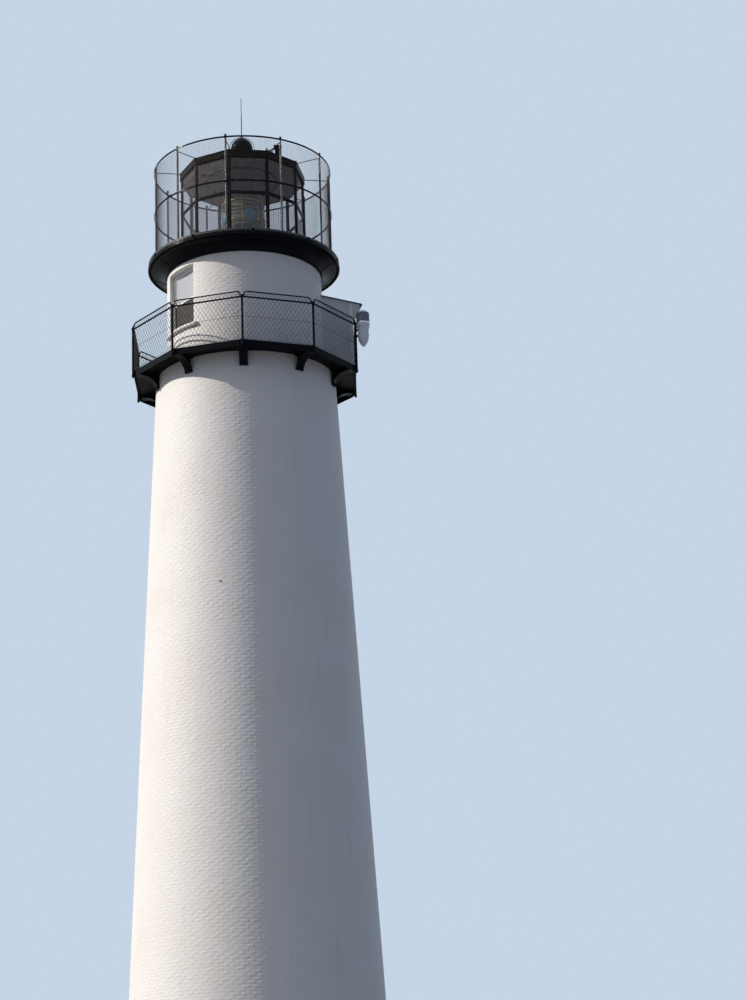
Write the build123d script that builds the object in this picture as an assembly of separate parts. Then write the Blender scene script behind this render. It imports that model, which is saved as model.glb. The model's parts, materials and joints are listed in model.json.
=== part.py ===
from build123d import *
import math
import os

# A brick lighthouse in millimetres, +Z up, origin at the centre of its base.
# Azimuth 0 faces -Y, and positive azimuths turn towards +X.

# Watch room drum
drum_radius = 1845.0
drum_wall = 300.0
drum_height = 2870.0
drum_segments = 5
drum_azimuth = 87.8
watch_floor_thickness = 50.0

# Shaft: the shoulder is the brick ledge left outside the drum
shaft_base_radius = 3068.0
shaft_shoulder = 267.0
shaft_height = 20150.0
shaft_base_wall = 690.0
shaft_top_wall = 455.0
shaft_segments = 6
floor_seat = 88.0
corbel_height = 180.0
ground_floor_thickness = 150.0

# Entrance
entrance_azimuth = 0.0
entrance_width = 1000.0
entrance_height = 2250.0
entrance_arch_rise = 125.0
entrance_setback = 190.0
entrance_frame_width = 90.0
entrance_frame_depth = 160.0
entrance_door_thickness = 55.0
door_stile = 110.0
door_lock_rail_level = 940.0
door_panel_recess = 12.0

# Windows: the head gap lies between the opening and the cornice, and segments count from the door's
window_segments = (2, 3)
window_width = 1030.0
window_height = 1585.0
window_head_gap = 100.0
window_setback = 105.0
window_frame_width = 35.0
window_frame_depth = 90.0
sash_front_gap = 12.0
sash_gap = 1.0
sash_depth = 34.0
sash_stile = 46.0
sash_top_rail = 50.0
sash_bottom_rail = 140.0
sash_meeting_rail = 45.0
glass_thickness = 6.0
sill_thickness = 90.0
sill_projection = 85.0
sill_nose_radius = 30.0
sill_ear = 100.0

# Lower gallery
gallery_sides = 10
gallery_azimuth = -1.3
gallery_deck_thickness = 50.0
gallery_width = 893.0
edge_beam_depth = 100.0
edge_beam_thickness = 12.0
gallery_post_diameter = 56.0
gallery_post_drop = 70.0
gallery_post_top = 30.0
foot_plate_width = 100.0
foot_plate_thickness = 14.0
foot_plate_rebate = 4.0
deck_corner_trim = 25.0
plate_joint = 4.0
railing_height = 1160.0
second_rail_drop = 135.0
top_rail_diameter = 32.0
second_rail_diameter = 42.0
rail_corner_radius = 80.0
rail_corner_steps = 4
rail_facets = 8

# Gallery brackets: the knee's curve passes the shares given of its reach and its drop
bracket_width = 200.0
bracket_height = 370.0
bracket_setback = 98.0
bracket_lip = 75.0
bracket_foot_height = 70.0
bracket_foot_depth = 55.0
bracket_flange = 24.0
bracket_web = 60.0
knee_reach_share = 0.68
knee_drop_share = 0.30

# Vestibule over the gallery door, placed in sides counted round from the first corner
door_side = 2.78
vestibule_width = 1000.0
vestibule_wall = 60.0
vestibule_setback = 44.0
vestibule_roof_drop = 490.0
vestibule_roof_fall = 119.0
vestibule_roof_thickness = 35.0
vestibule_side_overhang = 40.0
vestibule_front_overhang = 245.0
vestibule_eave_reach = 185.0
vestibule_eave_depth = 125.0
vestibule_door_jamb = 30.0
vestibule_door_thickness = 40.0
vestibule_lintel = 110.0
gallery_door_width = 760.0
gallery_door_lintel = 120.0
gallery_door_thickness = 45.0
gallery_door_setback = 60.0

# Cylindrical housing on a gallery post
housing_post = 2
housing_radius = 130.0
housing_height = 860.0
housing_base_above_deck = 455.0
housing_tip_radius = 30.0
housing_tip_height = 240.0
housing_tip_bulge = 22.0
housing_band_radius = 155.0
housing_band_height = 330.0
housing_band_taper = 30.0
housing_cap_height = 45.0
housing_cap_radius = 105.0
housing_fin_count = 24
housing_fin_height = 200.0
housing_fin_gap = 16.0
housing_fin_depth = 16.0
housing_standoff = 29.0
housing_strap_height = 50.0
housing_strap_width = 50.0
housing_strap_collar = 10.0
housing_strap_levels = (250.0, 400.0)

# Upper gallery
deck_overhang = 425.0
deck_thickness = 80.0
cornice_height = 290.0
cornice_inset = 55.0
cornice_lip = 45.0
cornice_foot_height = 40.0
cornice_foot_depth = 35.0
cove_reach_share = 0.58
cove_drop_share = 0.38
cove_steps = 5
rim_height = 130.0
rim_upstand = 18.0
rim_thickness = 14.0
rim_bead_radius = 17.0
rim_bead_steps = 4

# Cage around the lantern
lantern_sides = 10
cage_azimuth = -10.5
cage_inset = 161.0
cage_post_diameter = 42.0
cage_foot_diameter = 98.0
cage_foot_thickness = 16.0
cage_ring_height = 40.0
cage_ring_thickness = 12.0
cage_top_level = 2430.0
cage_mid_level = 1300.0
cage_knob_lift = 4.0
cage_knob_diameter = 62.0
cage_knob_neck = 0.6
cage_stay_diameter = 20.0
cage_stay_drop = 45.0
stay_facets = 8

# Lantern
lantern_azimuth = -12.5
lantern_radius = 1500.0
lantern_curb_height = 270.0
lantern_curb_thickness = 70.0
lantern_curb_lip = 10.0
lantern_glass_top = 2240.0
astragal_level = 1325.0
astragal_height = 45.0
astragal_depth = 50.0
astragal_inset = 4.0
mullion_width = 46.0
mullion_depth = 64.0
pane_thickness = 8.0
eave_overhang = 20.0
eave_height = 175.0
eave_wall = 60.0
ceiling_thickness = 30.0
roof_rise = 470.0
roof_top_radius = 190.0
roof_thickness = 16.0

# Roof fittings
ball_radius = 265.0
ball_lift = 250.0
ball_neck_radius = 120.0
arch_gap = 38.0
arch_thickness = 8.0
arch_width = 26.0
arch_stem_radius = 22.0
arch_azimuths = (0.0, 90.0)
rod_length = 1090.0
rod_base_radius = 26.0
rod_base_height = 60.0
rod_lower_radius = 11.0
rod_upper_radius = 8.0
rod_step_share = 0.55
rod_tip_height = 60.0
roof_box_azimuth = 67.0
roof_box_distance = 1000.0
roof_box_width = 160.0
roof_box_depth = 160.0
roof_box_height = 560.0
roof_box_lid_thickness = 30.0
roof_box_lid_lip = 25.0

# Lens and its stand
lens_radius = 500.0
lens_top_radius = 250.0
lens_bottom_radius = 330.0
lens_belt_height = 480.0
lens_focal_level = 1330.0
lens_bottom_height = 500.0
lens_wall = 32.0
lens_prism_depth = 22.0
lens_belt_prism_count = 5
lens_top_prism_count = 7
lens_bottom_prism_count = 4
lens_belt_crest_share = 0.5
lens_top_crest_share = 0.15
lens_bottom_crest_share = 0.85
lens_curve_power = 1.7
crown_gap = 10.0
crown_height = 60.0
crown_rim = 20.0
crown_knob_radius = 60.0
stand_radius = 150.0
stand_foot_radius = 210.0
stand_foot_height = 40.0
stand_foot_taper = 20.0
stand_table_lip = 70.0
stand_table_thickness = 36.0
screen_width = 560.0
screen_height = 850.0
screen_thickness = 8.0
screen_inset = 12.0
screen_facet = 2

running_gap = 0.3

shaft_top_radius = drum_radius + shaft_shoulder
deck_radius = drum_radius + deck_overhang
shaft_inner_base = shaft_base_radius - shaft_base_wall
shaft_inner_top = shaft_top_radius - shaft_top_wall
drum_inner_radius = drum_radius - drum_wall
deck_top = shaft_height + gallery_deck_thickness
drum_top = shaft_height + drum_height
cornice_low = drum_top - cornice_height
upper_level = drum_top + deck_thickness
glass_top = upper_level + lantern_glass_top
roof_base = glass_top + eave_height
roof_peak = roof_base + roof_rise
ball_centre = roof_peak + ball_lift
arch_radius = ball_radius + arch_gap
corner_step = 360.0 / gallery_sides
gallery_post_radius = drum_radius + gallery_width
rail_apothem = gallery_post_radius * math.cos(math.radians(corner_step / 2))
deck_corner_radius = gallery_post_radius - gallery_post_diameter / 2 - foot_plate_thickness
door_azimuth = gallery_azimuth + door_side * corner_step
drum_step = 360.0 / drum_segments
window_azimuths = [drum_azimuth + k * drum_step for k in window_segments]
lantern_step = 360.0 / lantern_sides
lantern_facet_azimuth = lantern_azimuth + lantern_step / 2
lantern_apothem = lantern_radius * math.cos(math.radians(lantern_step / 2))
lantern_half_side = lantern_radius * math.sin(math.radians(lantern_step / 2))
eave_radius = lantern_radius + eave_overhang
cage_radius = deck_radius - cage_inset
lens_centre = upper_level + lens_focal_level
lens_belt_low = lens_centre - lens_belt_height / 2
lens_belt_high = lens_centre + lens_belt_height / 2
lens_bottom = lens_belt_low - lens_bottom_height
lens_top = glass_top - crown_gap - crown_height


def turned(shape, azimuth):
    """A piece drawn along +X, turned to its azimuth."""
    return Rot(0, 0, azimuth - 90) * shape


def around(piece, count, first):
    """Copies of a piece drawn along +X, evenly spaced in azimuth."""
    return [turned(piece, first + k * 360.0 / count) for k in range(count)]


def ring(profile_points, start=0.0, sweep=360.0):
    """A revolved piece from (radius, height) points."""
    wire = Polyline(*[(x, 0, z) for x, z in profile_points], close=True)
    return Rot(0, 0, start) * revolve(make_face(wire), Axis.Z, sweep)


def sector(profile_points, step, gap):
    """One segment of a ring centred on +X, with a parallel joint at each side."""
    whole = ring(profile_points, -step / 2, step)
    if gap == 0:
        return whole
    reach = 2 * max(x for x, z in profile_points)
    tall = 4 * max(z for x, z in profile_points)
    cutter = Pos(reach / 2, 0, 0) * Box(reach, gap, tall)
    return whole - Rot(0, 0, step / 2) * cutter - Rot(0, 0, -step / 2) * cutter


def block(x_near, x_far, width, z_low, z_high):
    """A box along +X, centred on its azimuth."""
    centre = Pos((x_near + x_far) / 2, 0, (z_low + z_high) / 2)
    return centre * Box(x_far - x_near, width, z_high - z_low)


def post(radius, distance, z_low, z_high):
    """An upright round bar at a distance along +X."""
    return Pos(distance, 0, (z_low + z_high) / 2) * Cylinder(radius, z_high - z_low)


def shaft_radius(level):
    """Outer radius of the tapered shaft at a level."""
    return shaft_base_radius + (shaft_top_radius - shaft_base_radius) * level / shaft_height


def shaft_solid(z_low, z_high, clearance):
    """The solid of the shaft between two levels, grown by a clearance."""
    return ring([(0, z_low), (shaft_radius(z_low) + clearance, z_low),
                 (shaft_radius(z_high) + clearance, z_high), (0, z_high)])


def shaft_profile():
    """Section of the shaft wall, with the corbel that carries the watch room's floor."""
    ledge_radius = drum_inner_radius - floor_seat
    corbel_low = shaft_height - corbel_height
    return [
        (shaft_inner_base, 0),
        (shaft_base_radius, 0),
        (shaft_top_radius, shaft_height),
        (ledge_radius, shaft_height),
        (ledge_radius, corbel_low),
        (shaft_inner_top, corbel_low - (shaft_inner_top - ledge_radius)),
    ]


def arched_prism(width, height, rise, depth):
    """A doorway's outline with a low arched head, extruded along X and centred on it."""
    side = height - rise
    half = width / 2
    outline = Polyline((0, -half, side), (0, -half, 0), (0, half, 0), (0, half, side))
    outline += ThreePointArc((0, half, side), (0, 0, height), (0, -half, side))
    return extrude(make_face(outline), depth / 2, dir=(1, 0, 0), both=True)


def shaft_walls():
    step = 360.0 / shaft_segments
    opening = arched_prism(entrance_width, entrance_height, entrance_arch_rise, 2 * shaft_base_wall)
    opening = Pos(shaft_base_radius - shaft_base_wall / 2, 0, ground_floor_thickness) * opening
    walls = {}
    for k in range(shaft_segments):
        wall = sector(shaft_profile(), step, 0)
        if k == 0:
            wall = wall - opening
        walls[f"shaft_wall_{k + 1}"] = [turned(wall, entrance_azimuth + k * step)]
    return walls


def ground_floor():
    inner_height = shaft_profile()[-1][1]
    taper = (shaft_inner_base - shaft_inner_top) / inner_height
    low_radius = shaft_inner_base - running_gap
    top = ground_floor_thickness
    high_radius = low_radius - taper * top
    return [ring([(0, 0), (low_radius, 0), (high_radius, top), (0, top)])]


def entrance():
    face = shaft_radius(ground_floor_thickness + entrance_height) - entrance_setback
    place = Pos(face - entrance_frame_depth / 2, 0, ground_floor_thickness)
    clear_width = entrance_width - 2 * entrance_frame_width
    clear_height = entrance_height - entrance_frame_width
    outer = arched_prism(entrance_width, entrance_height, entrance_arch_rise, entrance_frame_depth)
    inner = arched_prism(clear_width, clear_height, entrance_arch_rise, 2 * entrance_frame_depth)
    leaf_width = clear_width - 2 * running_gap
    leaf_height = clear_height - running_gap
    leaf = arched_prism(leaf_width, leaf_height, entrance_arch_rise, entrance_door_thickness)
    panel_width = (clear_width - 3 * door_stile) / 2
    panel_top = clear_height - entrance_arch_rise - door_stile
    front = entrance_door_thickness / 2
    for side in (-1, 1):
        middle = side * (panel_width + door_stile) / 2
        lower_panel = (door_stile, door_lock_rail_level - door_stile)
        for low, high in (lower_panel, (door_lock_rail_level, panel_top)):
            panel = block(front - door_panel_recess, front + door_panel_recess, panel_width, low, high)
            leaf = leaf - Pos(0, middle, 0) * panel
    return {
        "entrance_frame": [turned(place * (outer - inner), entrance_azimuth)],
        "entrance_door": [turned(place * leaf, entrance_azimuth)],
    }


def window_levels():
    """Bottom of the sill, top of the sill and head of the window openings."""
    head = cornice_low - window_head_gap
    low = head - window_height
    return low, low + sill_thickness, head


def gallery_door_height():
    """Height of the doorway from the drum into the vestibule."""
    return vestibule_roof_level(vestibule_outer_radius()) - deck_top - gallery_door_lintel


def drum_walls():
    profile = [(drum_inner_radius, shaft_height), (drum_radius, shaft_height), (drum_radius, drum_top),
               (drum_inner_radius, drum_top)]
    near = drum_inner_radius - drum_wall
    far = drum_radius + drum_wall
    sill_low, sill_top, head = window_levels()
    window_cut = block(near, far, window_width, sill_low, head)
    door_cut = block(near, far, gallery_door_width, deck_top, deck_top + gallery_door_height())
    walls = {}
    for k in range(drum_segments):
        wall = sector(profile, drum_step, 0)
        if k == 0:
            wall = wall - Rot(0, 0, door_azimuth - drum_azimuth) * door_cut
        if k in window_segments:
            wall = wall - window_cut
        walls[f"watch_room_wall_{k + 1}"] = [turned(wall, drum_azimuth + k * drum_step)]
    return walls


def watch_room_floor():
    radius = drum_inner_radius - running_gap
    top = shaft_height + watch_floor_thickness
    return [ring([(0, shaft_height), (radius, shaft_height), (radius, top), (0, top)])]


def sash(width, bottom, top, bottom_rail, top_rail, face):
    """One sash frame and its pane, with its outer face at a distance along +X."""
    frame = block(face - sash_depth, face, width, bottom, top)
    clear_width = width - 2 * sash_stile
    clear_low = bottom + bottom_rail
    clear_high = top - top_rail
    hole = block(face - 2 * sash_depth, face + sash_depth, clear_width, clear_low, clear_high)
    pane_near = face - (sash_depth + glass_thickness) / 2
    pane = block(pane_near, pane_near + glass_thickness, clear_width, clear_low, clear_high)
    return frame - hole, pane


def window_sill(frame_back, low, high):
    """Bullnosed sill that follows the drum, with ears beside the opening and a tongue under the frame."""
    nose = drum_radius + sill_projection
    wall_face = drum_radius + running_gap
    shoulder = nose - sill_nose_radius
    outline = Polyline((shoulder, 0, high), (wall_face, 0, high), (wall_face, 0, low), (shoulder, 0, low))
    outline += ThreePointArc((shoulder, 0, low), (nose, 0, (low + high) / 2), (shoulder, 0, high))
    half_angle = math.degrees((window_width / 2 + sill_ear) / drum_radius)
    bar = Rot(0, 0, -half_angle) * revolve(make_face(outline), Axis.Z, 2 * half_angle)
    tongue = block(frame_back, nose, window_width, low, high)
    return bar + (tongue & post(drum_radius + sill_projection / 2, 0, low, high))


def windows():
    sill_low, low, head = window_levels()
    half = window_width / 2
    face = math.sqrt(drum_radius ** 2 - half ** 2) - window_setback
    back = face - window_frame_depth
    clear_width = window_width - 2 * window_frame_width
    clear_low = low + window_frame_width
    clear_high = head - window_frame_width
    frame = block(back, face, window_width, low, head)
    frame = frame - block(back - sash_depth, face + sash_depth, clear_width, clear_low, clear_high)
    middle = (clear_low + clear_high) / 2
    upper_face = face - sash_front_gap
    lower_face = upper_face - sash_depth - sash_gap
    half_rail = sash_meeting_rail / 2
    pairs = [
        sash(clear_width, middle - half_rail, clear_high, sash_meeting_rail, sash_top_rail, upper_face),
        sash(clear_width, clear_low, middle + half_rail, sash_bottom_rail, sash_meeting_rail, lower_face),
    ]
    sill = window_sill(back, sill_low, low)
    return {
        "window_frames": [turned(frame, azimuth) for azimuth in window_azimuths],
        "window_sashes": [turned(pair[0], azimuth) for azimuth in window_azimuths for pair in pairs],
        "window_glass": [turned(pair[1], azimuth) for azimuth in window_azimuths for pair in pairs],
        "window_sills": [turned(sill, azimuth) for azimuth in window_azimuths],
    }


def deck_face(inset):
    """One deck plate seen from above, drawn in from its outer edges; its corner is trimmed for the post."""
    half_turn = math.radians(corner_step / 2)
    flat = deck_corner_radius - inset
    corner = deck_corner_radius + deck_corner_trim - inset / math.cos(half_turn)
    flat_half = (corner - flat) / math.tan(half_turn)
    apothem = corner * math.cos(half_turn)
    middle_x = apothem * math.cos(half_turn)
    middle_y = apothem * math.sin(half_turn)
    return make_face(Polyline((0, 0), (middle_x, -middle_y), (flat, -flat_half), (flat, flat_half),
                              (middle_x, middle_y), close=True))


def gallery_deck():
    """Ten plates, jointed at the middle of each side, each with a thin beam under its outer edge."""
    plate = Pos(0, 0, shaft_height) * extrude(deck_face(0), gallery_deck_thickness)
    beam = extrude(deck_face(0) - deck_face(edge_beam_thickness), edge_beam_depth)
    plate = plate + Pos(0, 0, shaft_height - edge_beam_depth) * beam
    plate = plate - post(drum_radius + running_gap, 0, shaft_height - corbel_height, drum_top)
    joint = block(0, 2 * deck_corner_radius, plate_joint, shaft_height - corbel_height, drum_top)
    plate = plate - Rot(0, 0, corner_step / 2) * joint - Rot(0, 0, -corner_step / 2) * joint
    return around(plate, gallery_sides, gallery_azimuth)


def gallery_brackets():
    """Cast knees under the deck's corners: a web between curved flanges, seated on the tapered shaft."""
    top = shaft_height
    foot = top - bracket_height
    back = shaft_radius(shaft_height) - bracket_foot_depth
    reach = gallery_post_radius - bracket_setback
    heel = shaft_radius(foot) + bracket_foot_depth
    lip_low = top - bracket_lip
    foot_top = foot + bracket_foot_height
    knee = (reach - (reach - heel) * knee_reach_share, 0, lip_low - (lip_low - foot_top) * knee_drop_share)
    outline = ThreePointArc((reach, 0, lip_low), knee, (heel, 0, foot_top))
    outline += Polyline((heel, 0, foot_top), (heel, 0, foot), (back, 0, foot), (back, 0, top),
                        (reach, 0, top), (reach, 0, lip_low))
    face = make_face(outline)
    casting = extrude(face, bracket_width / 2, dir=(0, 1, 0), both=True)
    pocket = offset(face, amount=-bracket_flange)
    for direction in (-1, 1):
        start = Pos(0, direction * bracket_web / 2, 0)
        casting = casting - extrude(start * pocket, bracket_width, dir=(0, direction, 0))
    casting = casting - shaft_solid(foot - bracket_height, top + bracket_height, running_gap)
    return around(casting, gallery_sides, gallery_azimuth)


def second_rail_level():
    """Centre of the lower rail, between the posts."""
    return deck_top + railing_height - second_rail_drop


def gallery_posts():
    low = shaft_height - gallery_post_drop
    high = second_rail_level() + gallery_post_top
    upright = post(gallery_post_diameter / 2, gallery_post_radius, low, high)
    plate_top = deck_top - foot_plate_rebate
    plate = block(deck_corner_radius, gallery_post_radius, foot_plate_width, low, plate_top)
    return around(upright + plate, gallery_sides, gallery_azimuth)


def gallery_rails():
    """A pipe hoop with rounded corners standing on a straight rail, one pair for each side."""
    half_side = gallery_post_radius * math.sin(math.radians(corner_step / 2))
    top = deck_top + railing_height
    second = second_rail_level()
    end = half_side - gallery_post_diameter / 2 - top_rail_diameter / 2 - running_gap
    arc = rail_corner_radius
    corner = []
    for k in range(rail_corner_steps + 1):
        turn = math.radians(90.0 * k / rail_corner_steps)
        corner.append((end - arc * (1 - math.cos(turn)), top - arc * (1 - math.sin(turn))))
    right = [(rail_apothem, y, z) for y, z in [(end, second)] + corner]
    left = [(x, -y, z) for x, y, z in reversed(right)]
    start = Plane(origin=right[0], z_dir=(0, 0, 1))
    pipe = start * RegularPolygon(top_rail_diameter / 2, rail_facets)
    hoop = sweep(pipe, path=Polyline(*right, *left), transition=Transition.RIGHT)
    bar_half = half_side - gallery_post_diameter / 2 - running_gap
    bar_plane = Plane(origin=(rail_apothem, -bar_half, second), z_dir=(0, 1, 0))
    bar = extrude(bar_plane * RegularPolygon(second_rail_diameter / 2, rail_facets), 2 * bar_half)
    return around(hoop + bar, gallery_sides, gallery_azimuth + corner_step / 2)


def vestibule_outer_radius():
    """Distance of the vestibule's front face, whose nearer corner stands just inside the railing."""
    off_middle = math.radians(abs(door_side % 1 - 0.5) * corner_step)
    reach = rail_apothem - vestibule_setback - vestibule_width / 2 * math.sin(off_middle)
    return reach / math.cos(off_middle)


def vestibule_roof_level(x):
    """Underside of the vestibule's roof, which falls away from the drum."""
    slope = vestibule_roof_fall / (vestibule_outer_radius() - drum_radius)
    return cornice_low - vestibule_roof_drop - vestibule_roof_thickness - slope * (x - drum_radius)


def vestibule():
    near = drum_inner_radius
    outer = vestibule_outer_radius()
    inner = outer - vestibule_wall
    reach = outer + vestibule_front_overhang
    half = vestibule_width / 2
    side_centre = half - vestibule_wall / 2
    drum = post(drum_radius + running_gap, 0, shaft_height, drum_top)
    section = Polyline((near, 0, deck_top), (outer, 0, deck_top), (outer, 0, vestibule_roof_level(outer)),
                       (near, 0, vestibule_roof_level(near)), close=True)
    envelope = extrude(make_face(section), half, dir=(0, 1, 0), both=True) - drum
    side_slab = block(near, inner, vestibule_wall, deck_top, drum_top)
    sides = [envelope & (Pos(0, side * side_centre, 0) * side_slab) for side in (1, -1)]
    front = envelope & block(inner, outer, vestibule_width, deck_top, drum_top)
    eave = outer + vestibule_eave_reach
    eave_low = vestibule_roof_level(eave) - vestibule_eave_depth
    eave_section = Polyline((outer, 0, eave_low), (eave, 0, eave_low),
                            (eave, 0, vestibule_roof_level(eave)),
                            (outer, 0, vestibule_roof_level(outer)), close=True)
    front = front + extrude(make_face(eave_section), half, dir=(0, 1, 0), both=True)
    door_height = vestibule_roof_level(outer) - deck_top - vestibule_lintel
    door_width = inner - drum_radius - 2 * vestibule_door_jamb
    doorway = Pos((drum_radius + inner) / 2, side_centre, deck_top + door_height / 2)
    sides[0] = sides[0] - doorway * Box(door_width, 2 * vestibule_wall, door_height)
    side_leaf = doorway * Box(door_width - 2 * running_gap, vestibule_door_thickness, door_height)
    thick = vestibule_roof_thickness
    roof_section = Polyline((near, 0, vestibule_roof_level(near)), (reach, 0, vestibule_roof_level(reach)),
                            (reach, 0, vestibule_roof_level(reach) + thick),
                            (near, 0, vestibule_roof_level(near) + thick), close=True)
    roof_half = half + vestibule_side_overhang
    roof = extrude(make_face(roof_section), roof_half, dir=(0, 1, 0), both=True) - drum
    leaf_far = drum_radius - gallery_door_setback
    leaf = block(leaf_far - gallery_door_thickness, leaf_far, gallery_door_width, deck_top,
                 deck_top + gallery_door_height())
    return {
        "vestibule_sides": [turned(side, door_azimuth) for side in sides],
        "vestibule_front": [turned(front, door_azimuth)],
        "vestibule_roof": [turned(roof, door_azimuth)],
        "vestibule_door": [turned(side_leaf, door_azimuth)],
        "gallery_door": [turned(leaf, door_azimuth)],
    }


def signal_housing():
    """A cylinder with a finned band and a bulged tip at its foot, strapped outside a gallery post."""
    base = deck_top + housing_base_above_deck
    top = base + housing_height
    cap_low = top - housing_cap_height
    band_low = cap_low - housing_band_height
    shoulder = base + housing_tip_height
    slant = math.atan2(housing_tip_height, housing_radius - housing_tip_radius)
    belly = ((housing_radius + housing_tip_radius) / 2 + housing_tip_bulge * math.sin(slant), 0,
             base + housing_tip_height / 2 - housing_tip_bulge * math.cos(slant))
    outline = Polyline((housing_tip_radius, 0, base), (0, 0, base), (0, 0, top),
                       (housing_cap_radius, 0, top),
                       (housing_band_radius, 0, cap_low), (housing_band_radius, 0, band_low),
                       (housing_radius, 0, band_low - housing_band_taper), (housing_radius, 0, shoulder))
    outline += ThreePointArc((housing_radius, 0, shoulder), belly, (housing_tip_radius, 0, base))
    body = revolve(make_face(outline), Axis.Z)
    fin_top = cap_low - housing_fin_gap
    slot = block(housing_band_radius - housing_fin_depth, 2 * housing_band_radius, housing_fin_gap,
                 fin_top - housing_fin_height, fin_top)
    body = body - [Rot(0, 0, k * 360.0 / housing_fin_count) * slot for k in range(housing_fin_count)]
    centre = gallery_post_radius + gallery_post_diameter / 2 + housing_standoff + housing_radius
    azimuth = gallery_azimuth + housing_post * corner_step
    upright = post(gallery_post_diameter / 2 + running_gap, gallery_post_radius, deck_top, top)
    shell = post(housing_radius + running_gap, centre, base, top)
    straps = []
    for height in housing_strap_levels:
        low = base + height
        high = low + housing_strap_height
        arm = block(gallery_post_radius, centre, housing_strap_width, low, high)
        collar = post(gallery_post_diameter / 2 + housing_strap_collar, gallery_post_radius, low, high)
        straps.append(turned((arm + collar) - upright - shell, azimuth))
    return {
        "signal_housing": [turned(Pos(centre, 0, 0) * body, azimuth)],
        "signal_housing_straps": straps,
    }


def cornice_profile():
    """Section of the cornice: a lip under the deck, a hollow cove and a foot on the drum."""
    inner = drum_radius + running_gap
    outer = deck_radius - cornice_inset
    lip_low = drum_top - cornice_lip
    foot_top = cornice_low + cornice_foot_height
    foot_face = inner + cornice_foot_depth
    hollow = (outer - (outer - inner) * cove_reach_share, lip_low - (lip_low - foot_top) * cove_drop_share)
    cove = ThreePointArc((outer, lip_low), hollow, (foot_face, foot_top))
    points = [cove @ (k / cove_steps) for k in range(cove_steps + 1)]
    return [(inner, cornice_low), (inner, drum_top), (outer, drum_top), *[(p.X, p.Y) for p in points],
            (foot_face, cornice_low)]


def rim_profile():
    """Section of the deck's edge strip, with a rounded bead along its foot."""
    low = upper_level - rim_height
    high = upper_level + rim_upstand
    back = deck_radius + running_gap
    face = deck_radius + rim_thickness
    bead = []
    for k in range(rim_bead_steps):
        turn = math.radians(-90 + 180.0 * (k + 0.5) / rim_bead_steps)
        bead.append((face + rim_bead_radius * math.cos(turn), low + rim_bead_radius * (1 + math.sin(turn))))
    return [(back, low), (face, low), *bead, (face, low + 2 * rim_bead_radius), (face, high), (back, high)]


def upper_gallery():
    seat = drum_radius - drum_wall / 2
    floor = [(0, drum_top), (seat, drum_top), (seat, upper_level), (0, upper_level)]
    deck = [(seat + running_gap, drum_top), (deck_radius, drum_top), (deck_radius, upper_level),
            (seat + running_gap, upper_level)]
    cornice = sector(cornice_profile(), lantern_step, plate_joint)
    rim = sector(rim_profile(), lantern_step, plate_joint)
    return {
        "lantern_floor": [ring(floor)],
        "upper_deck": [ring(deck)],
        "cornice": around(cornice, lantern_sides, lantern_azimuth),
        "deck_rim": around(rim, lantern_sides, lantern_azimuth),
    }


def cage():
    """Posts with turned knobs, two flat hoops bolted outside them and stays to the lantern's eave."""
    post_radius = cage_post_diameter / 2
    ring_level = upper_level + cage_top_level
    knob_radius = cage_knob_diameter / 2
    knob_low = ring_level + cage_ring_height / 2 + cage_knob_lift
    knob_high = knob_low + cage_knob_diameter
    neck = knob_radius * cage_knob_neck
    knob = ring([(0, knob_low), (neck, knob_low), (knob_radius, knob_low + neck),
                 (knob_radius, knob_high - neck), (neck, knob_high), (0, knob_high)])
    upright = post(post_radius, cage_radius, upper_level, knob_low + knob_radius)
    foot = post(cage_foot_diameter / 2, cage_radius, upper_level, upper_level + cage_foot_thickness)
    upright = upright + Pos(cage_radius, 0, 0) * knob + foot
    inner = cage_radius + post_radius + running_gap
    outer = inner + cage_ring_thickness
    hoops = {}
    for name, level in (("cage_top_ring", ring_level), ("cage_mid_ring", upper_level + cage_mid_level)):
        low = level - cage_ring_height / 2
        high = level + cage_ring_height / 2
        bar = sector([(inner, low), (outer, low), (outer, high), (inner, high)], lantern_step, plate_joint)
        hoops[name] = around(bar, lantern_sides, cage_azimuth + lantern_step / 2)
    near = eave_radius - eave_wall
    far = cage_radius - post_radius - running_gap
    stay_plane = Plane(origin=(near, 0, ring_level - cage_stay_drop), z_dir=(1, 0, 0))
    stay = extrude(stay_plane * RegularPolygon(cage_stay_diameter / 2, stay_facets), far - near)
    eave = many_sided(eave_radius + running_gap, glass_top, roof_base)
    stay = stay - Rot(0, 0, lantern_azimuth - cage_azimuth) * eave
    return {
        "cage_posts": around(upright, lantern_sides, cage_azimuth),
        "cage_stays": around(stay, lantern_sides, cage_azimuth),
        **hoops,
    }


def many_sided(radius, z_low, z_high):
    """An upright prism with one corner for each side of the lantern, a corner towards +X."""
    return Pos(0, 0, z_low) * extrude(RegularPolygon(radius, lantern_sides), z_high - z_low)


def roof_solid(base_radius, z_low, z_high, top_radius):
    """A many-sided pyramid cut off at its top, with flat faces."""
    apothem_share = math.cos(math.radians(lantern_step / 2))
    slope = math.degrees(math.atan2((base_radius - top_radius) * apothem_share, z_high - z_low))
    base = RegularPolygon(base_radius, lantern_sides)
    return Pos(0, 0, z_low) * extrude(base, z_high - z_low, taper=slope)


def facet_wedge():
    """The space in front of one side of the lantern, drawn along +X and half a joint clear of the next."""
    half_turn = math.radians(lantern_step / 2)
    reach = 2 * lantern_radius
    spread = reach * math.tan(half_turn)
    outline = Polyline((0, 0), (reach, -spread), (reach, spread), close=True)
    return Pos(plate_joint, 0, 0) * extrude(make_face(outline), 2 * upper_level)


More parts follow.
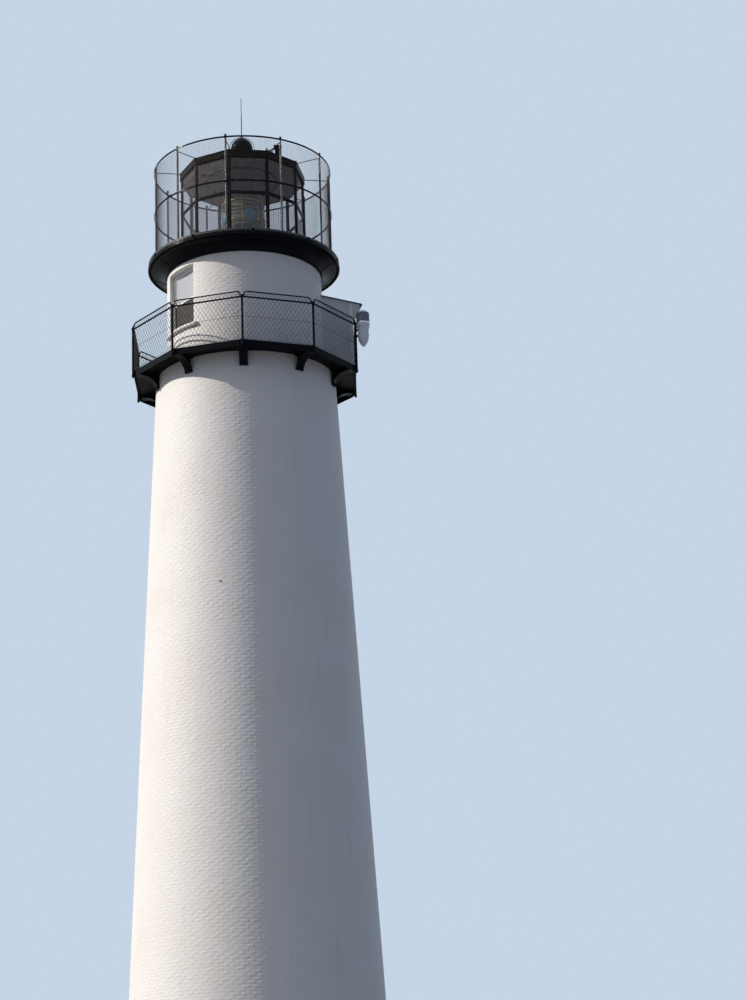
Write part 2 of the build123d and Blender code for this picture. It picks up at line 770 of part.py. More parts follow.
def lantern():
    first = lantern_facet_azimuth
    curb_top = upper_level + lantern_curb_height
    side = 2 * lantern_half_side
    wedge = facet_wedge()
    curb = wedge & block(lantern_apothem - lantern_curb_thickness, lantern_apothem + lantern_curb_lip,
                         side + lantern_curb_thickness, upper_level, curb_top)
    mullion = block(lantern_radius - mullion_depth, lantern_radius, mullion_width, curb_top, glass_top)
    slot = block(lantern_radius - 2 * mullion_depth, 2 * lantern_radius, mullion_width + 2 * running_gap,
                 upper_level, roof_base)
    slots = [Rot(0, 0, turn) * slot for turn in (-lantern_step / 2, lantern_step / 2)]
    bar_low = upper_level + astragal_level - astragal_height / 2
    bar_high = bar_low + astragal_height
    bar_near = lantern_apothem - astragal_depth
    bar = wedge & block(bar_near, lantern_apothem - astragal_inset, side, bar_low, bar_high)
    pane_near = lantern_apothem - (astragal_depth + pane_thickness) / 2
    panes = []
    for low, high in ((curb_top, bar_low), (bar_high, glass_top)):
        panes.append((wedge & block(pane_near, pane_near + pane_thickness, side, low, high)) - slots)
    eave_inner = eave_radius - eave_wall
    eave = many_sided(eave_radius, glass_top, roof_base) - many_sided(eave_inner, upper_level, roof_peak)
    ceiling = many_sided(eave_inner - running_gap, glass_top, glass_top + ceiling_thickness)
    hollow = roof_solid(eave_inner, roof_base, roof_peak - roof_thickness, roof_top_radius)
    roof = roof_solid(eave_radius, roof_base, roof_peak, roof_top_radius) - hollow
    return {
        "lantern_curb": around(curb, lantern_sides, first),
        "lantern_mullions": around(mullion, lantern_sides, lantern_azimuth),
        "lantern_bars": around(bar - slots, lantern_sides, first),
        "lantern_glass": [glass for pane in panes for glass in around(pane, lantern_sides, first)],
        "lantern_eave": [turned(eave, lantern_azimuth)],
        "lantern_ceiling": [turned(ceiling, lantern_azimuth)],
        "lantern_roof": [turned(roof, lantern_azimuth)],
    }


def roof_arch():
    """A flat bar that rises from the roof on both sides and passes over the ball."""
    outer = arch_radius + arch_thickness
    outline = Polyline((-outer, 0, ball_centre), (-outer, 0, roof_base), (-arch_radius, 0, roof_base),
                       (-arch_radius, 0, ball_centre))
    outline += ThreePointArc((-arch_radius, 0, ball_centre), (0, 0, ball_centre + arch_radius),
                             (arch_radius, 0, ball_centre))
    outline += Polyline((arch_radius, 0, ball_centre), (arch_radius, 0, roof_base), (outer, 0, roof_base),
                        (outer, 0, ball_centre))
    crown = (0, 0, ball_centre + outer)
    outline += ThreePointArc((outer, 0, ball_centre), crown, (-outer, 0, ball_centre))
    return extrude(make_face(outline), arch_width / 2, dir=(0, 1, 0), both=True)


def roof_fittings():
    roof = turned(roof_solid(eave_radius, roof_base, roof_peak, roof_top_radius), lantern_azimuth)
    neck_top = ball_centre - math.sqrt(ball_radius ** 2 - ball_neck_radius ** 2)
    outline = Polyline((0, 0, ball_centre + ball_radius), (0, 0, roof_peak),
                       (ball_neck_radius, 0, roof_peak), (ball_neck_radius, 0, neck_top))
    outline += ThreePointArc((ball_neck_radius, 0, neck_top), (ball_radius, 0, ball_centre),
                             (0, 0, ball_centre + ball_radius))
    arch = roof_arch()
    crown = ball_centre + arch_radius + arch_thickness
    stem = post(arch_stem_radius, 0, ball_centre, crown)
    vent = revolve(make_face(outline), Axis.Z) + stem
    vent = vent + [turned(arch - turned(roof, 180 - turn), turn) for turn in arch_azimuths]
    rod_step = crown + rod_length * rod_step_share
    rod_top = crown + rod_length
    rod = ring([(0, crown), (rod_base_radius, crown), (rod_base_radius, crown + rod_base_height),
                (rod_lower_radius, crown + rod_base_height), (rod_lower_radius, rod_step),
                (rod_upper_radius, rod_step), (rod_upper_radius, rod_top - rod_tip_height), (0, rod_top)])
    box_top = roof_base + roof_box_height
    near = roof_box_distance - roof_box_depth / 2
    far = roof_box_distance + roof_box_depth / 2
    body = block(near, far, roof_box_width, roof_base, box_top)
    lip = roof_box_lid_lip
    lid = block(near - lip, far + lip, roof_box_width + 2 * lip, box_top, box_top + roof_box_lid_thickness)
    return {
        "roof_vent": [vent],
        "lightning_rod": [rod],
        "roof_box": [turned(body + lid, roof_box_azimuth) - roof],
    }


def lens_envelope(level):
    """Radius of the lens barrel, drawn in above and below its belt."""
    if level > lens_belt_high:
        share = (level - lens_belt_high) / (lens_top - lens_belt_high)
        return lens_radius - (lens_radius - lens_top_radius) * share ** lens_curve_power
    if level < lens_belt_low:
        share = (lens_belt_low - level) / lens_bottom_height
        return lens_radius - (lens_radius - lens_bottom_radius) * share ** lens_curve_power
    return lens_radius


def lens_profile():
    """Section of the glass: prism crests face down below the belt, out on it and up above it."""
    zones = ((lens_bottom, lens_belt_low, lens_bottom_prism_count, lens_bottom_crest_share),
             (lens_belt_low, lens_belt_high, lens_belt_prism_count, lens_belt_crest_share),
             (lens_belt_high, lens_top, lens_top_prism_count, lens_top_crest_share))
    half_depth = lens_prism_depth / 2
    points = []
    for low, high, count, crest in zones:
        pitch = (high - low) / count
        for k in range(count):
            foot = low + k * pitch
            tip = foot + crest * pitch
            points += [(lens_envelope(foot) - half_depth, foot), (lens_envelope(tip) + half_depth, tip)]
    points.append((lens_envelope(lens_top) - half_depth, lens_top))
    inner_levels = (lens_top, (lens_top + lens_belt_high) / 2, lens_belt_high, lens_belt_low, lens_bottom)
    return points + [(lens_envelope(level) - half_depth - lens_wall, level) for level in inner_levels]


def lens():
    """The glass barrel, its stand on the lantern floor and the cap that closes its top."""
    table_low = lens_bottom - stand_table_thickness
    table_radius = lens_bottom_radius + stand_table_lip
    foot_top = upper_level + stand_foot_height
    stand = ring([(0, upper_level), (stand_foot_radius, upper_level), (stand_foot_radius, foot_top),
                  (stand_radius, foot_top + stand_foot_taper), (stand_radius, table_low),
                  (table_radius, table_low), (table_radius, lens_bottom), (0, lens_bottom)])
    crown_top = lens_top + crown_height
    crown = ring([(0, lens_top), (lens_top_radius, lens_top), (lens_top_radius, lens_top + crown_rim),
                  (crown_knob_radius, crown_top), (0, crown_top)])
    return {"lens_glass": [ring(lens_profile())], "lens_stand": [stand], "lens_crown": [crown]}


def red_screen():
    """A coloured pane standing on the curb behind one side of the lantern."""
    low = upper_level + lantern_curb_height
    near = lantern_apothem - lantern_curb_thickness + screen_inset
    panel = block(near, near + screen_thickness, screen_width, low, low + screen_height)
    return [turned(panel, lantern_facet_azimuth + screen_facet * lantern_step)]


def build_nodes():
    return {
        **shaft_walls(),
        "ground_floor": ground_floor(),
        **entrance(),
        **drum_walls(),
        **windows(),
        "watch_room_floor": watch_room_floor(),
        "gallery_deck": gallery_deck(),
        "gallery_brackets": gallery_brackets(),
        "gallery_posts": gallery_posts(),
        "gallery_rails": gallery_rails(),
        **vestibule(),
        **signal_housing(),
        **upper_gallery(),
        **cage(),
        **lantern(),
        **roof_fittings(),
        **lens(),
        "red_screen": red_screen(),
    }


os.makedirs("parts", exist_ok=True)
for name, pieces in build_nodes().items():
    solids = [solid for piece in pieces for solid in piece.solids()]
    export_step(Compound(children=solids) if len(solids) > 1 else solids[0], f"parts/{name}.step")
    print(name, len(solids))
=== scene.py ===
import json
import math
import random

import bpy
from mathutils import Matrix, Vector

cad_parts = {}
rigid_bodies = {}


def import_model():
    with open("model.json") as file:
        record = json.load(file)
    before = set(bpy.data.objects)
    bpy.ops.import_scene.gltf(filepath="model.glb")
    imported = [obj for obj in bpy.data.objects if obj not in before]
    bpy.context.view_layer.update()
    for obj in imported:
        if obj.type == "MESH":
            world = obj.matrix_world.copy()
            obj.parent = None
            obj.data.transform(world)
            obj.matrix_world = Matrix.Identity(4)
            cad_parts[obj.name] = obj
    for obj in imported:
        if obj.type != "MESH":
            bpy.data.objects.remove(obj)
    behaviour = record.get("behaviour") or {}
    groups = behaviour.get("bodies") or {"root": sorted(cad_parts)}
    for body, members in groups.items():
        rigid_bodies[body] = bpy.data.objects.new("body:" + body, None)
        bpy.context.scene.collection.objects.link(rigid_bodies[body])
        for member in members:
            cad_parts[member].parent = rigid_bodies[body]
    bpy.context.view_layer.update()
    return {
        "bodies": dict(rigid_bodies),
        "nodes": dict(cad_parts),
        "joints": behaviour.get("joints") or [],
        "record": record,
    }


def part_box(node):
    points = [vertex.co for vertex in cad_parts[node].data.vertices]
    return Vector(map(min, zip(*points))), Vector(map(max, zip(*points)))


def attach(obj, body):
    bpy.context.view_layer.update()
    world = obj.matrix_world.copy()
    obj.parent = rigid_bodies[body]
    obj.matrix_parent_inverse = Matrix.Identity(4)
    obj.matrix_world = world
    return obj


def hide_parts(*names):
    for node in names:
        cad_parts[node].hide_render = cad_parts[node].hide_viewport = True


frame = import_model()
nodes = frame["nodes"]
dice = random.Random(11)
up, down, front = Vector((0, 0, 1)), Vector((0, 0, -1)), Vector((0, -1, 0))
sideTurn = 18.0  # degrees from a corner of a ten-sided ring to the middle of its side
print("frame loaded:", len(nodes), "nodes")


# Helpers for modelling by hand

def clearSelection():
    if bpy.context.object and bpy.context.object.mode != "OBJECT":
        bpy.ops.object.mode_set(mode="OBJECT")
    bpy.ops.object.select_all(action="DESELECT")


def pick(piece):
    clearSelection()
    piece.select_set(True)
    bpy.context.view_layer.objects.active = piece


def settle(piece):  # puts the object's place into its mesh
    pick(piece)
    bpy.ops.object.transform_apply(location=True, rotation=True, scale=True)
    return piece


def named(name):  # for the primitive that was just added
    piece = bpy.context.object
    piece.name = name
    return settle(piece)


def placed(piece, place=(0, 0, 0), turn=(0, 0, 0)):
    piece.location = place
    piece.rotation_euler = turn
    return settle(piece)


def swung(piece, azimuth):  # from azimuth 0, where it was modelled, to its own
    return placed(piece, turn=(0, 0, math.radians(azimuth)))


def turnedCopy(piece, name, azimuth):  # a copy with its own mesh, swung round the tower's axis
    fresh = piece.copy()
    fresh.data = piece.data.copy()
    fresh.name = name
    bpy.context.scene.collection.objects.link(fresh)
    return swung(fresh, azimuth)


def joined(name, pieces):
    clearSelection()
    for piece in pieces:
        piece.select_set(True)
    bpy.context.view_layer.objects.active = pieces[0]
    bpy.ops.object.join()
    pieces[0].name = name
    return pieces[0]


def azimuthsFrom(first, count=10):
    return [first + k * 360.0 / count for k in range(count)]


def copiesRound(piece, name, first, count=10):  # copies evenly round the axis, joined, for the model
    copies = [turnedCopy(piece, name, azimuth) for azimuth in azimuthsFrom(first, count)]
    bpy.data.objects.remove(piece)
    return joined(name, copies)


def applyModifiers(piece):
    pick(piece)
    for modifier in list(piece.modifiers):
        bpy.ops.object.modifier_apply(modifier=modifier.name)
    return piece


def changed(piece, kind, **settings):  # by one modifier, applied at once
    modifier = piece.modifiers.new("change", kind)
    for name, value in settings.items():
        setattr(modifier, name, value)
    return applyModifiers(piece)


def repeated(piece, offset, count):
    return changed(piece, "ARRAY", use_relative_offset=False, use_constant_offset=True,
                   constant_offset_displace=offset, count=count)


def bevelled(piece, width, segments=1):
    return changed(piece, "BEVEL", width=width, segments=segments, limit_method="ANGLE")


def smoothed(piece, degrees=40):
    pick(piece)
    bpy.ops.object.shade_smooth_by_angle(angle=math.radians(degrees))
    return piece


def selectFaces(piece, wanted):  # and stays in edit mode
    pick(piece)
    bpy.ops.object.mode_set(mode="EDIT")
    bpy.ops.mesh.select_mode(type="FACE")
    bpy.ops.mesh.select_all(action="DESELECT")
    bpy.ops.object.mode_set(mode="OBJECT")
    for face in piece.data.polygons:
        face.select = wanted(face)
    bpy.ops.object.mode_set(mode="EDIT")


def selectSide(piece, side):  # the faces that look one way
    selectFaces(piece, lambda face: face.normal.dot(side) > 0.9)


def selectEnds(piece):  # the two ends of a round bar
    selectFaces(piece, lambda face: len(face.vertices) > 4)


def selectAll(piece):
    pick(piece)
    bpy.ops.object.mode_set(mode="EDIT")
    bpy.ops.mesh.select_all(action="SELECT")


def extrude(move):
    bpy.ops.mesh.extrude_region_move(TRANSFORM_OT_translate={"value": move})


def leaveEdit(piece):
    bpy.ops.object.mode_set(mode="OBJECT")
    return piece


def closeUp(piece):  # turns all faces outwards and leaves edit mode
    bpy.ops.mesh.select_all(action="SELECT")
    bpy.ops.mesh.normals_make_consistent(inside=False)
    return leaveEdit(piece)


def hollowed(piece, bar, depth):  # leaves a rim of a flat face and gives it depth
    selectAll(piece)
    bpy.ops.mesh.inset(thickness=bar)
    bpy.ops.mesh.delete(type="FACE")
    bpy.ops.mesh.select_all(action="SELECT")
    extrude(depth)
    return closeUp(piece)


def raised(piece, side, edge, rise=0.0):  # insets the faces on one side, then lifts them
    selectSide(piece, side)
    bpy.ops.mesh.inset(thickness=edge)
    bpy.ops.transform.translate(value=side * rise)
    return leaveEdit(piece)


def flared(piece, side, share, **settings):  # widens or narrows one side
    selectSide(piece, side)
    bpy.ops.transform.resize(value=share, **settings)
    return leaveEdit(piece)


def drawnOut(piece, side, edge, steps):  # insets one side and extrudes it, each step with its own width
    selectSide(piece, side)
    bpy.ops.mesh.inset(thickness=edge)
    for length, share in steps:
        extrude(side * length)
        bpy.ops.transform.resize(value=[1 if along else share for along in side])
    return leaveEdit(piece)


def addBlock(name, low, high):
    clearSelection()
    low, high = Vector(low), Vector(high)
    bpy.ops.mesh.primitive_cube_add(size=1, location=(low + high) / 2, scale=high - low)
    return named(name)


def addRod(name, radius, low, high, sides=12):  # an upright bar from a point up to another level
    clearSelection()
    place = (low[0], low[1], (low[2] + high) / 2)
    bpy.ops.mesh.primitive_cylinder_add(vertices=sides, radius=radius, depth=high - low[2], location=place)
    return named(name)


def addBar(name, radius, start, end, sides=8):  # a round bar between two points
    clearSelection()
    start, end = Vector(start), Vector(end)
    along = end - start
    turn = along.to_track_quat("Z", "Y").to_euler()
    bpy.ops.mesh.primitive_cylinder_add(vertices=sides, radius=radius, depth=along.length,
                                        location=(start + end) / 2, rotation=turn)
    return named(name)


def addDisc(name, radius, depth, sides):  # a thin plate at the origin, facing -Y
    clearSelection()
    bpy.ops.mesh.primitive_cylinder_add(vertices=sides, radius=radius, depth=depth,
                                        location=(0, -depth / 2, 0), rotation=(math.pi / 2, 0, 0))
    return named(name)


def addFrame(name, width, low, high, near, far, bar, middle=0.0):  # a flat frame that faces -Y
    clearSelection()
    place = (middle, -far, (low + high) / 2)
    bpy.ops.mesh.primitive_plane_add(size=1, location=place, rotation=(math.pi / 2, 0, 0))
    bpy.context.object.scale = (width, high - low, 1)
    return hollowed(named(name), bar, (0, far - near, 0))


def addRing(name, inner, outer, low, high, sides=32, place=(0.0, 0.0), turn=0.0):
    clearSelection()
    bpy.ops.mesh.primitive_circle_add(vertices=sides, radius=outer, fill_type="NGON",
                                      location=(*place, low), rotation=(0, 0, math.radians(turn)))
    return hollowed(named(name), (outer - inner) * math.cos(math.pi / sides), (0, 0, high - low))


def addSweptBar(name, width, points, tilt=0.0):  # a square bar drawn along points
    clearSelection()
    bpy.ops.mesh.primitive_plane_add(size=width, location=points[0], rotation=(tilt, 0, 0))
    piece = named(name)
    selectAll(piece)
    for before, after in zip(points, points[1:]):
        extrude(Vector(after) - Vector(before))
    return closeUp(piece)


def outward(azimuth, radius, level, aside=0.0):  # a point on an azimuth's line, or beside it
    turn = math.radians(azimuth)
    x = radius * math.sin(turn) + aside * math.cos(turn)
    y = -radius * math.cos(turn) + aside * math.sin(turn)
    return Vector((x, y, level))


def finishPiece(piece, material, slot="black_iron", *replaced):
    piece.data.materials.clear()
    piece.data.materials.append(material)
    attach(piece, "root")
    if replaced:
        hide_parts(*replaced)
    return piece


# Nodes of a material, the world or a node group

def addNode(owner, kind, entries=None, **settings):  # an entry takes a value, or the output that drives it
    tree = getattr(owner, "node_tree", owner)
    node = tree.nodes.new(kind)
    for name, value in settings.items():
        setattr(node, name, value)
    for entry, value in (entries or {}).items():
        if isinstance(value, bpy.types.NodeSocket):
            tree.links.new(value, node.inputs[entry])
        else:
            node.inputs[entry].default_value = value
    return node


def computed(owner, operation, first, second):
    return addNode(owner, "ShaderNodeMath", {0: first, 1: second}, operation=operation).outputs[0]


# Geometry Nodes that put one modelled piece at many places and realize it

def makeLayingTree():
    tree = bpy.data.node_groups.new("layPieces", "GeometryNodeTree")
    for label, side, kind in (("Places", "INPUT", "Geometry"), ("Piece", "INPUT", "Object"),
                              ("Laid", "OUTPUT", "Geometry")):
        tree.interface.new_socket(label, in_out=side, socket_type="NodeSocket" + kind)
    source = addNode(tree, "NodeGroupInput").outputs
    turn, size = (addNode(tree, "GeometryNodeInputNamedAttribute", {"Name": label}, data_type="FLOAT_VECTOR")
                  for label in ("turn", "size"))
    model = addNode(tree, "GeometryNodeObjectInfo", {"Object": source["Piece"]})
    spin = addNode(tree, "FunctionNodeEulerToRotation", {"Euler": turn.outputs["Attribute"]})
    lay = addNode(tree, "GeometryNodeInstanceOnPoints", {
        "Points": source["Places"], "Instance": model.outputs["Geometry"],
        "Rotation": spin.outputs["Rotation"], "Scale": size.outputs["Attribute"]})
    realize = addNode(tree, "GeometryNodeRealizeInstances", {"Geometry": lay.outputs["Instances"]})
    addNode(tree, "NodeGroupOutput", {"Laid": realize.outputs["Geometry"]})
    return tree


layingTree = makeLayingTree()


def layPieces(name, model, places):  # places hold (position, turn in radians, size, shade)
    mesh = bpy.data.meshes.new(name)
    mesh.from_pydata([place[0] for place in places], [], [])
    for label, column in (("turn", 1), ("size", 2)):
        values = mesh.attributes.new(label, "FLOAT_VECTOR", "POINT")
        values.data.foreach_set("vector", [number for place in places for number in place[column]])
    shade = mesh.attributes.new("shade", "FLOAT", "POINT")
    shade.data.foreach_set("value", [place[3] for place in places])
    piece = bpy.data.objects.new(name, mesh)
    bpy.context.scene.collection.objects.link(piece)
    modifier = piece.modifiers.new("lay", "NODES")
    modifier.node_group = layingTree
    entry = [item for item in layingTree.interface.items_tree if item.name == "Piece"][0]
    modifier[entry.identifier] = model
    applyModifiers(piece)
    for label in ("turn", "size"):
        piece.data.attributes.remove(piece.data.attributes[label])
    return piece


def layOnce(name, model, places, material):  # lays a model, then removes it
    finishPiece(layPieces(name, model, places), material)
    bpy.data.objects.remove(model)


def placeAt(azimuth, radius, level, aside=0.0, swing=0.0):  # faces outwards, or swung from there
    return (outward(azimuth, radius, level, aside), (0, 0, math.radians(azimuth + swing)), (1, 1, 1), 0.5)


def ringOfPlaces(radius, level, count, first=0.0):
    return [placeAt(azimuth, radius, level) for azimuth in azimuthsFrom(first, count)]


# Materials

def shaderOf(material):
    return material.node_tree.nodes["Principled BSDF"]


def newMaterial(name, colour, roughness, **sockets):
    material = bpy.data.materials.new(name)
    material.use_nodes = True
    shader = shaderOf(material)
    shader.inputs["Base Color"].default_value = (*colour, 1)
    shader.inputs["Roughness"].default_value = roughness
    for socket, value in sockets.items():
        shader.inputs[socket.replace("_", " ")].default_value = value
    return material


def objectPlace(material):
    return addNode(material, "ShaderNodeTexCoord").outputs["Object"]


def objectAxis(material, axis):
    return addNode(material, "ShaderNodeSeparateXYZ", {"Vector": objectPlace(material)}).outputs[axis]


def addNoise(material, scale, detail=4.0, stretch=(1, 1, 1)):
    mapping = addNode(material, "ShaderNodeMapping", {"Scale": stretch, "Vector": objectPlace(material)})
    entries = {"Scale": scale, "Detail": detail, "Vector": mapping.outputs["Vector"]}
    return addNode(material, "ShaderNodeTexNoise", entries).outputs["Fac"]


def spread(material, value, low, high, toLow=0.0, toHigh=1.0):
    entries = {"Value": value, "From Min": low, "From Max": high, "To Min": toLow, "To Max": toHigh}
    return addNode(material, "ShaderNodeMapRange", entries).outputs["Result"]


def feed(material, entry, output):  # drives one entry of the material's shader
    material.node_tree.links.new(output, shaderOf(material).inputs[entry])


def tint(material, factor, colour):  # lays a colour over what the base colour is so far
    base = shaderOf(material).inputs["Base Color"]
    before = base.links[0].from_socket if base.links else base.default_value
    entries = {"A": before, "B": (*colour, 1), "Factor": factor}
    mix = addNode(material, "ShaderNodeMix", entries, data_type="RGBA")
    feed(material, "Base Color", mix.outputs["Result"])


def stain(material, colour, share, low, high, *noise):  # patches of a colour where noise passes low
    tint(material, spread(material, addNoise(material, *noise), low, high, 0, share), colour)


def roughen(material, smooth, dull, *noise, low=0.3, high=0.7):
    feed(material, "Roughness", spread(material, addNoise(material, *noise), low, high, smooth, dull))


def bump(material, height, distance, strength=1.0):  # on top of the bumps so far
    entries = {"Height": height, "Distance": distance, "Strength": strength}
    for before in shaderOf(material).inputs["Normal"].links:
        entries["Normal"] = before.from_socket
    feed(material, "Normal", addNode(material, "ShaderNodeBump", entries).outputs["Normal"])


def levelBand(material, low, high):  # 1 between two heights, 0 elsewhere
    level = objectAxis(material, "Z")
    return computed(material, "MULTIPLY", spread(material, level, low, low + 0.0005),
                    spread(material, level, high, high - 0.0005))


def wavePattern(material, axis, pitch):  # 0 to 1 and back along one Object axis
    wrap = computed(material, "PINGPONG", objectAxis(material, axis), pitch / 2)
    return spread(material, wrap, 0, pitch / 2)


whitewashSetup = {
    "colour": (0.87, 0.85, 0.82), "cream": (0.80, 0.76, 0.68), "grime": (0.62, 0.59, 0.53),
    "streaks": (5.0, 6, (1, 1, 0.12)), "lumps": (7.0, 4, (1, 1, 2.3)), "lumpDistance": 0.0078,
}


def makeWhitewash(s):
    material = newMaterial("whitewash", s["colour"], 0.62)
    stain(material, s["cream"], 0.5, 0.45, 0.75, 0.8, 5)
    stain(material, s["grime"], 0.28, 0.58, 0.8, *s["streaks"])
    shade = addNode(material, "ShaderNodeAttribute", attribute_name="shade")
    tint(material, spread(material, shade.outputs["Fac"], 0.5, 1.0, 0, 0.16), s["cream"])
    roughen(material, 0.5, 0.75, 30)
    bump(material, addNoise(material, *s["lumps"]), s["lumpDistance"], 0.8)
    bump(material, addNoise(material, 60, 5), 0.0012, 0.5)
    return material


ironSetup = {
    "colour": (0.009, 0.0095, 0.0125), "worn": (0.035, 0.030, 0.028), "dust": (0.014, 0.0145, 0.0175),
}


def makeIronPaint(name, gloss, s):
    material = newMaterial(name, s["colour"], 0.3, Specular_IOR_Level=gloss)
    stain(material, s["dust"], 0.5, 0.5, 0.8, 2.2, 6)
    stain(material, s["worn"], 0.8, 0.68, 0.74, 42, 8)
    roughen(material, 0.12, 0.34, 18, 7, low=0.35, high=0.65)
    bump(material, addNoise(material, 55, 6), 0.0015, 0.8)
    return material


def makeWire(name, colour, worn, gloss):  # duller, for the thin wires
    material = newMaterial(name, colour, 0.5, Specular_IOR_Level=gloss)
    stain(material, worn, 0.6, 0.5, 0.75, 12, 6)
    roughen(material, 0.4, 0.65, 60)
    bump(material, addNoise(material, 300), 0.0004)
    return material


def makeTrimPaint(name, colour, dirt, roughness):
    material = newMaterial(name, colour, roughness)
    stain(material, dirt, 0.5, 0.45, 0.8, 3.5, 6)
    roughen(material, roughness - 0.1, roughness + 0.15, 25, 5)
    bump(material, addNoise(material, 9, 6, (1, 1, 9)), 0.002, 0.5)
    return material


# pale paint, with its brightness and blue raised as painted sky light on the shaded housing; also used for
# the roof lamps
def makeHousingPaintSkyLit():  # pale body with a dark finned band near its top
    material = makeTrimPaint("housingPaintSkyLit", (0.78, 0.83, 0.87), (0.70, 0.72, 0.68), 0.4)
    tint(material, levelBand(material, 21.235, 21.475), (0.20, 0.22, 0.26))
    return material


def makePane(name, colour, alpha, roughness, dust):
    material = newMaterial(name, colour, roughness, Alpha=alpha, Specular_IOR_Level=0.8)
    stain(material, dust, 0.6, 0.4, 0.75, 1.6, 5)
    roughen(material, roughness, roughness + 0.16, 8, 6, high=0.75)
    bump(material, addNoise(material, 1.1, 2), 0.002, 0.2)
    return material


def makeBoards():  # brown boarded ceiling, with grooves along Y
    material = newMaterial("brownBoards", (0.40, 0.31, 0.24), 0.6, Specular_IOR_Level=0.2)
    boards = wavePattern(material, "X", 0.11)
    stain(material, (0.27, 0.21, 0.165), 0.8, 0.35, 0.7, 5, 7, (6, 0.6, 1))
    tint(material, spread(material, boards, 0.0, 0.09, 1, 0), (0.02, 0.014, 0.01))
    bump(material, spread(material, boards, 0.0, 0.11), 0.004)
    return material


def makeLensGlass():
    material = newMaterial("lensGlass", (0.42, 0.47, 0.40), 0.06, Alpha=0.78, Specular_IOR_Level=1.0)
    stain(material, (0.50, 0.38, 0.17), 0.7, 0.4, 0.7, 3, 3)
    roughen(material, 0.04, 0.14, 12)
    return material


def makeMetal(name, colour, roughness, tarnish):
    material = newMaterial(name, colour, roughness, Metallic=1.0)
    stain(material, tarnish, 0.8, 0.45, 0.75, 9, 6)
    roughen(material, roughness - 0.08, roughness + 0.2, 40, 5)
    bump(material, addNoise(material, 90), 0.0006)
    return material


def makeScreenCloth():  # fine woven wire, dark brown
    material = newMaterial("screenCloth", (0.036, 0.028, 0.024), 0.6, Specular_IOR_Level=0.2)
    stain(material, (0.065, 0.052, 0.044), 0.7, 0.4, 0.75, 6, 5)
    bump(material, wavePattern(material, "Z", 0.0016), 0.0004)
    return material


def makeDeckPlate():  # black plate, chequered on the tops of both decks
    material = newMaterial("deckPlate", (0.0045, 0.005, 0.0075), 0.4, Specular_IOR_Level=0.035)
    stain(material, (0.012, 0.012, 0.014), 0.7, 0.45, 0.75, 3, 7)
    for top in (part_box("gallery_deck")[1].z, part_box("upper_deck")[1].z):
        for axis in ("X", "Y"):
            ribs = spread(material, wavePattern(material, axis, 0.03), 0.7, 0.9)
            ribs = computed(material, "MULTIPLY", ribs, levelBand(material, top - 0.001, top + 0.01))
            bump(material, ribs, 0.0012, 0.6)
    roughen(material, 0.35, 0.6, 14, 6)
    return material


def makeConcrete():
    material = newMaterial("concrete", (0.36, 0.35, 0.33), 0.85)
    stain(material, (0.25, 0.24, 0.22), 0.6, 0.4, 0.75, 2.5, 8)
    bump(material, addNoise(material, 60, 8), 0.002, 0.8)
    return material


whitewash = makeWhitewash(whitewashSetup)
ironPaint = makeIronPaint("glossyBlackIron", 0.035, ironSetup)
postPaint = makeIronPaint("shinyBlackIron", 0.4, ironSetup)  # the cage's posts catch the sun
wirePaint = makeWire("blackWire", (0.012, 0.013, 0.016), (0.05, 0.045, 0.04), 0.3)
rustyWire = makeWire("rustyWire", (0.115, 0.075, 0.06), (0.18, 0.13, 0.11), 0.2)
# tie wire for the cage posts: pale zinc, made near-white as a painted highlight for the sun's glints along
# the posts
glintWhiteWire = makeWire("glintWhiteWire", (0.72, 0.73, 0.75), (0.50, 0.48, 0.46), 0.5)
dullZinc = makeWire("dullZinc", (0.26, 0.26, 0.27), (0.36, 0.35, 0.33), 0.5)
trimWhite = makeTrimPaint("trimWhite", (0.84, 0.84, 0.82), (0.66, 0.65, 0.60), 0.42)
# the vestibule's white boards, darker than trimWhite: painted shade for the walls that stand in shade
shadedBoardWhite = makeTrimPaint("shadedBoardWhite", (0.70, 0.70, 0.69), (0.55, 0.55, 0.53), 0.5)
doorPaint = makeTrimPaint("doorPaint", (0.045, 0.05, 0.055), (0.08, 0.08, 0.075), 0.4)
roofFelt = makeTrimPaint("roofFelt", (0.06, 0.065, 0.07), (0.11, 0.11, 0.11), 0.7)
# nearly opaque window glass: its pale grey-blue is a painted reflection of the bright sky
windowPaneSkyReflection = makePane("windowPaneSkyReflection", (0.56, 0.58, 0.61), 0.95, 0.05, (0.60, 0.61, 0.63))
lanternPane = makePane("lanternPane", (0.30, 0.33, 0.37), 0.14, 0.03, (0.42, 0.42, 0.42))
redPane = makePane("redPane", (0.62, 0.06, 0.04), 0.85, 0.12, (0.50, 0.08, 0.05))
brownBoards = makeBoards()
lensGlass = makeLensGlass()
# bull's-eye glass: its bright sky blue is painted light, the image of the sky seen through the lens put into
# the glass's colour
eyeGlassPaintedSky = makePane("eyeGlassPaintedSky", (0.38, 0.66, 0.86), 0.85, 0.05, (0.36, 0.62, 0.72))
brass = makeMetal("brass", (0.68, 0.50, 0.22), 0.28, (0.32, 0.24, 0.12))
housingPaintSkyLit = makeHousingPaintSkyLit()
concrete = makeConcrete()
screenCloth = makeScreenCloth()
galvanised = makeMetal("galvanised", (0.62, 0.63, 0.65), 0.3, (0.34, 0.33, 0.33))
deckPlate = makeDeckPlate()
print("materials ready")

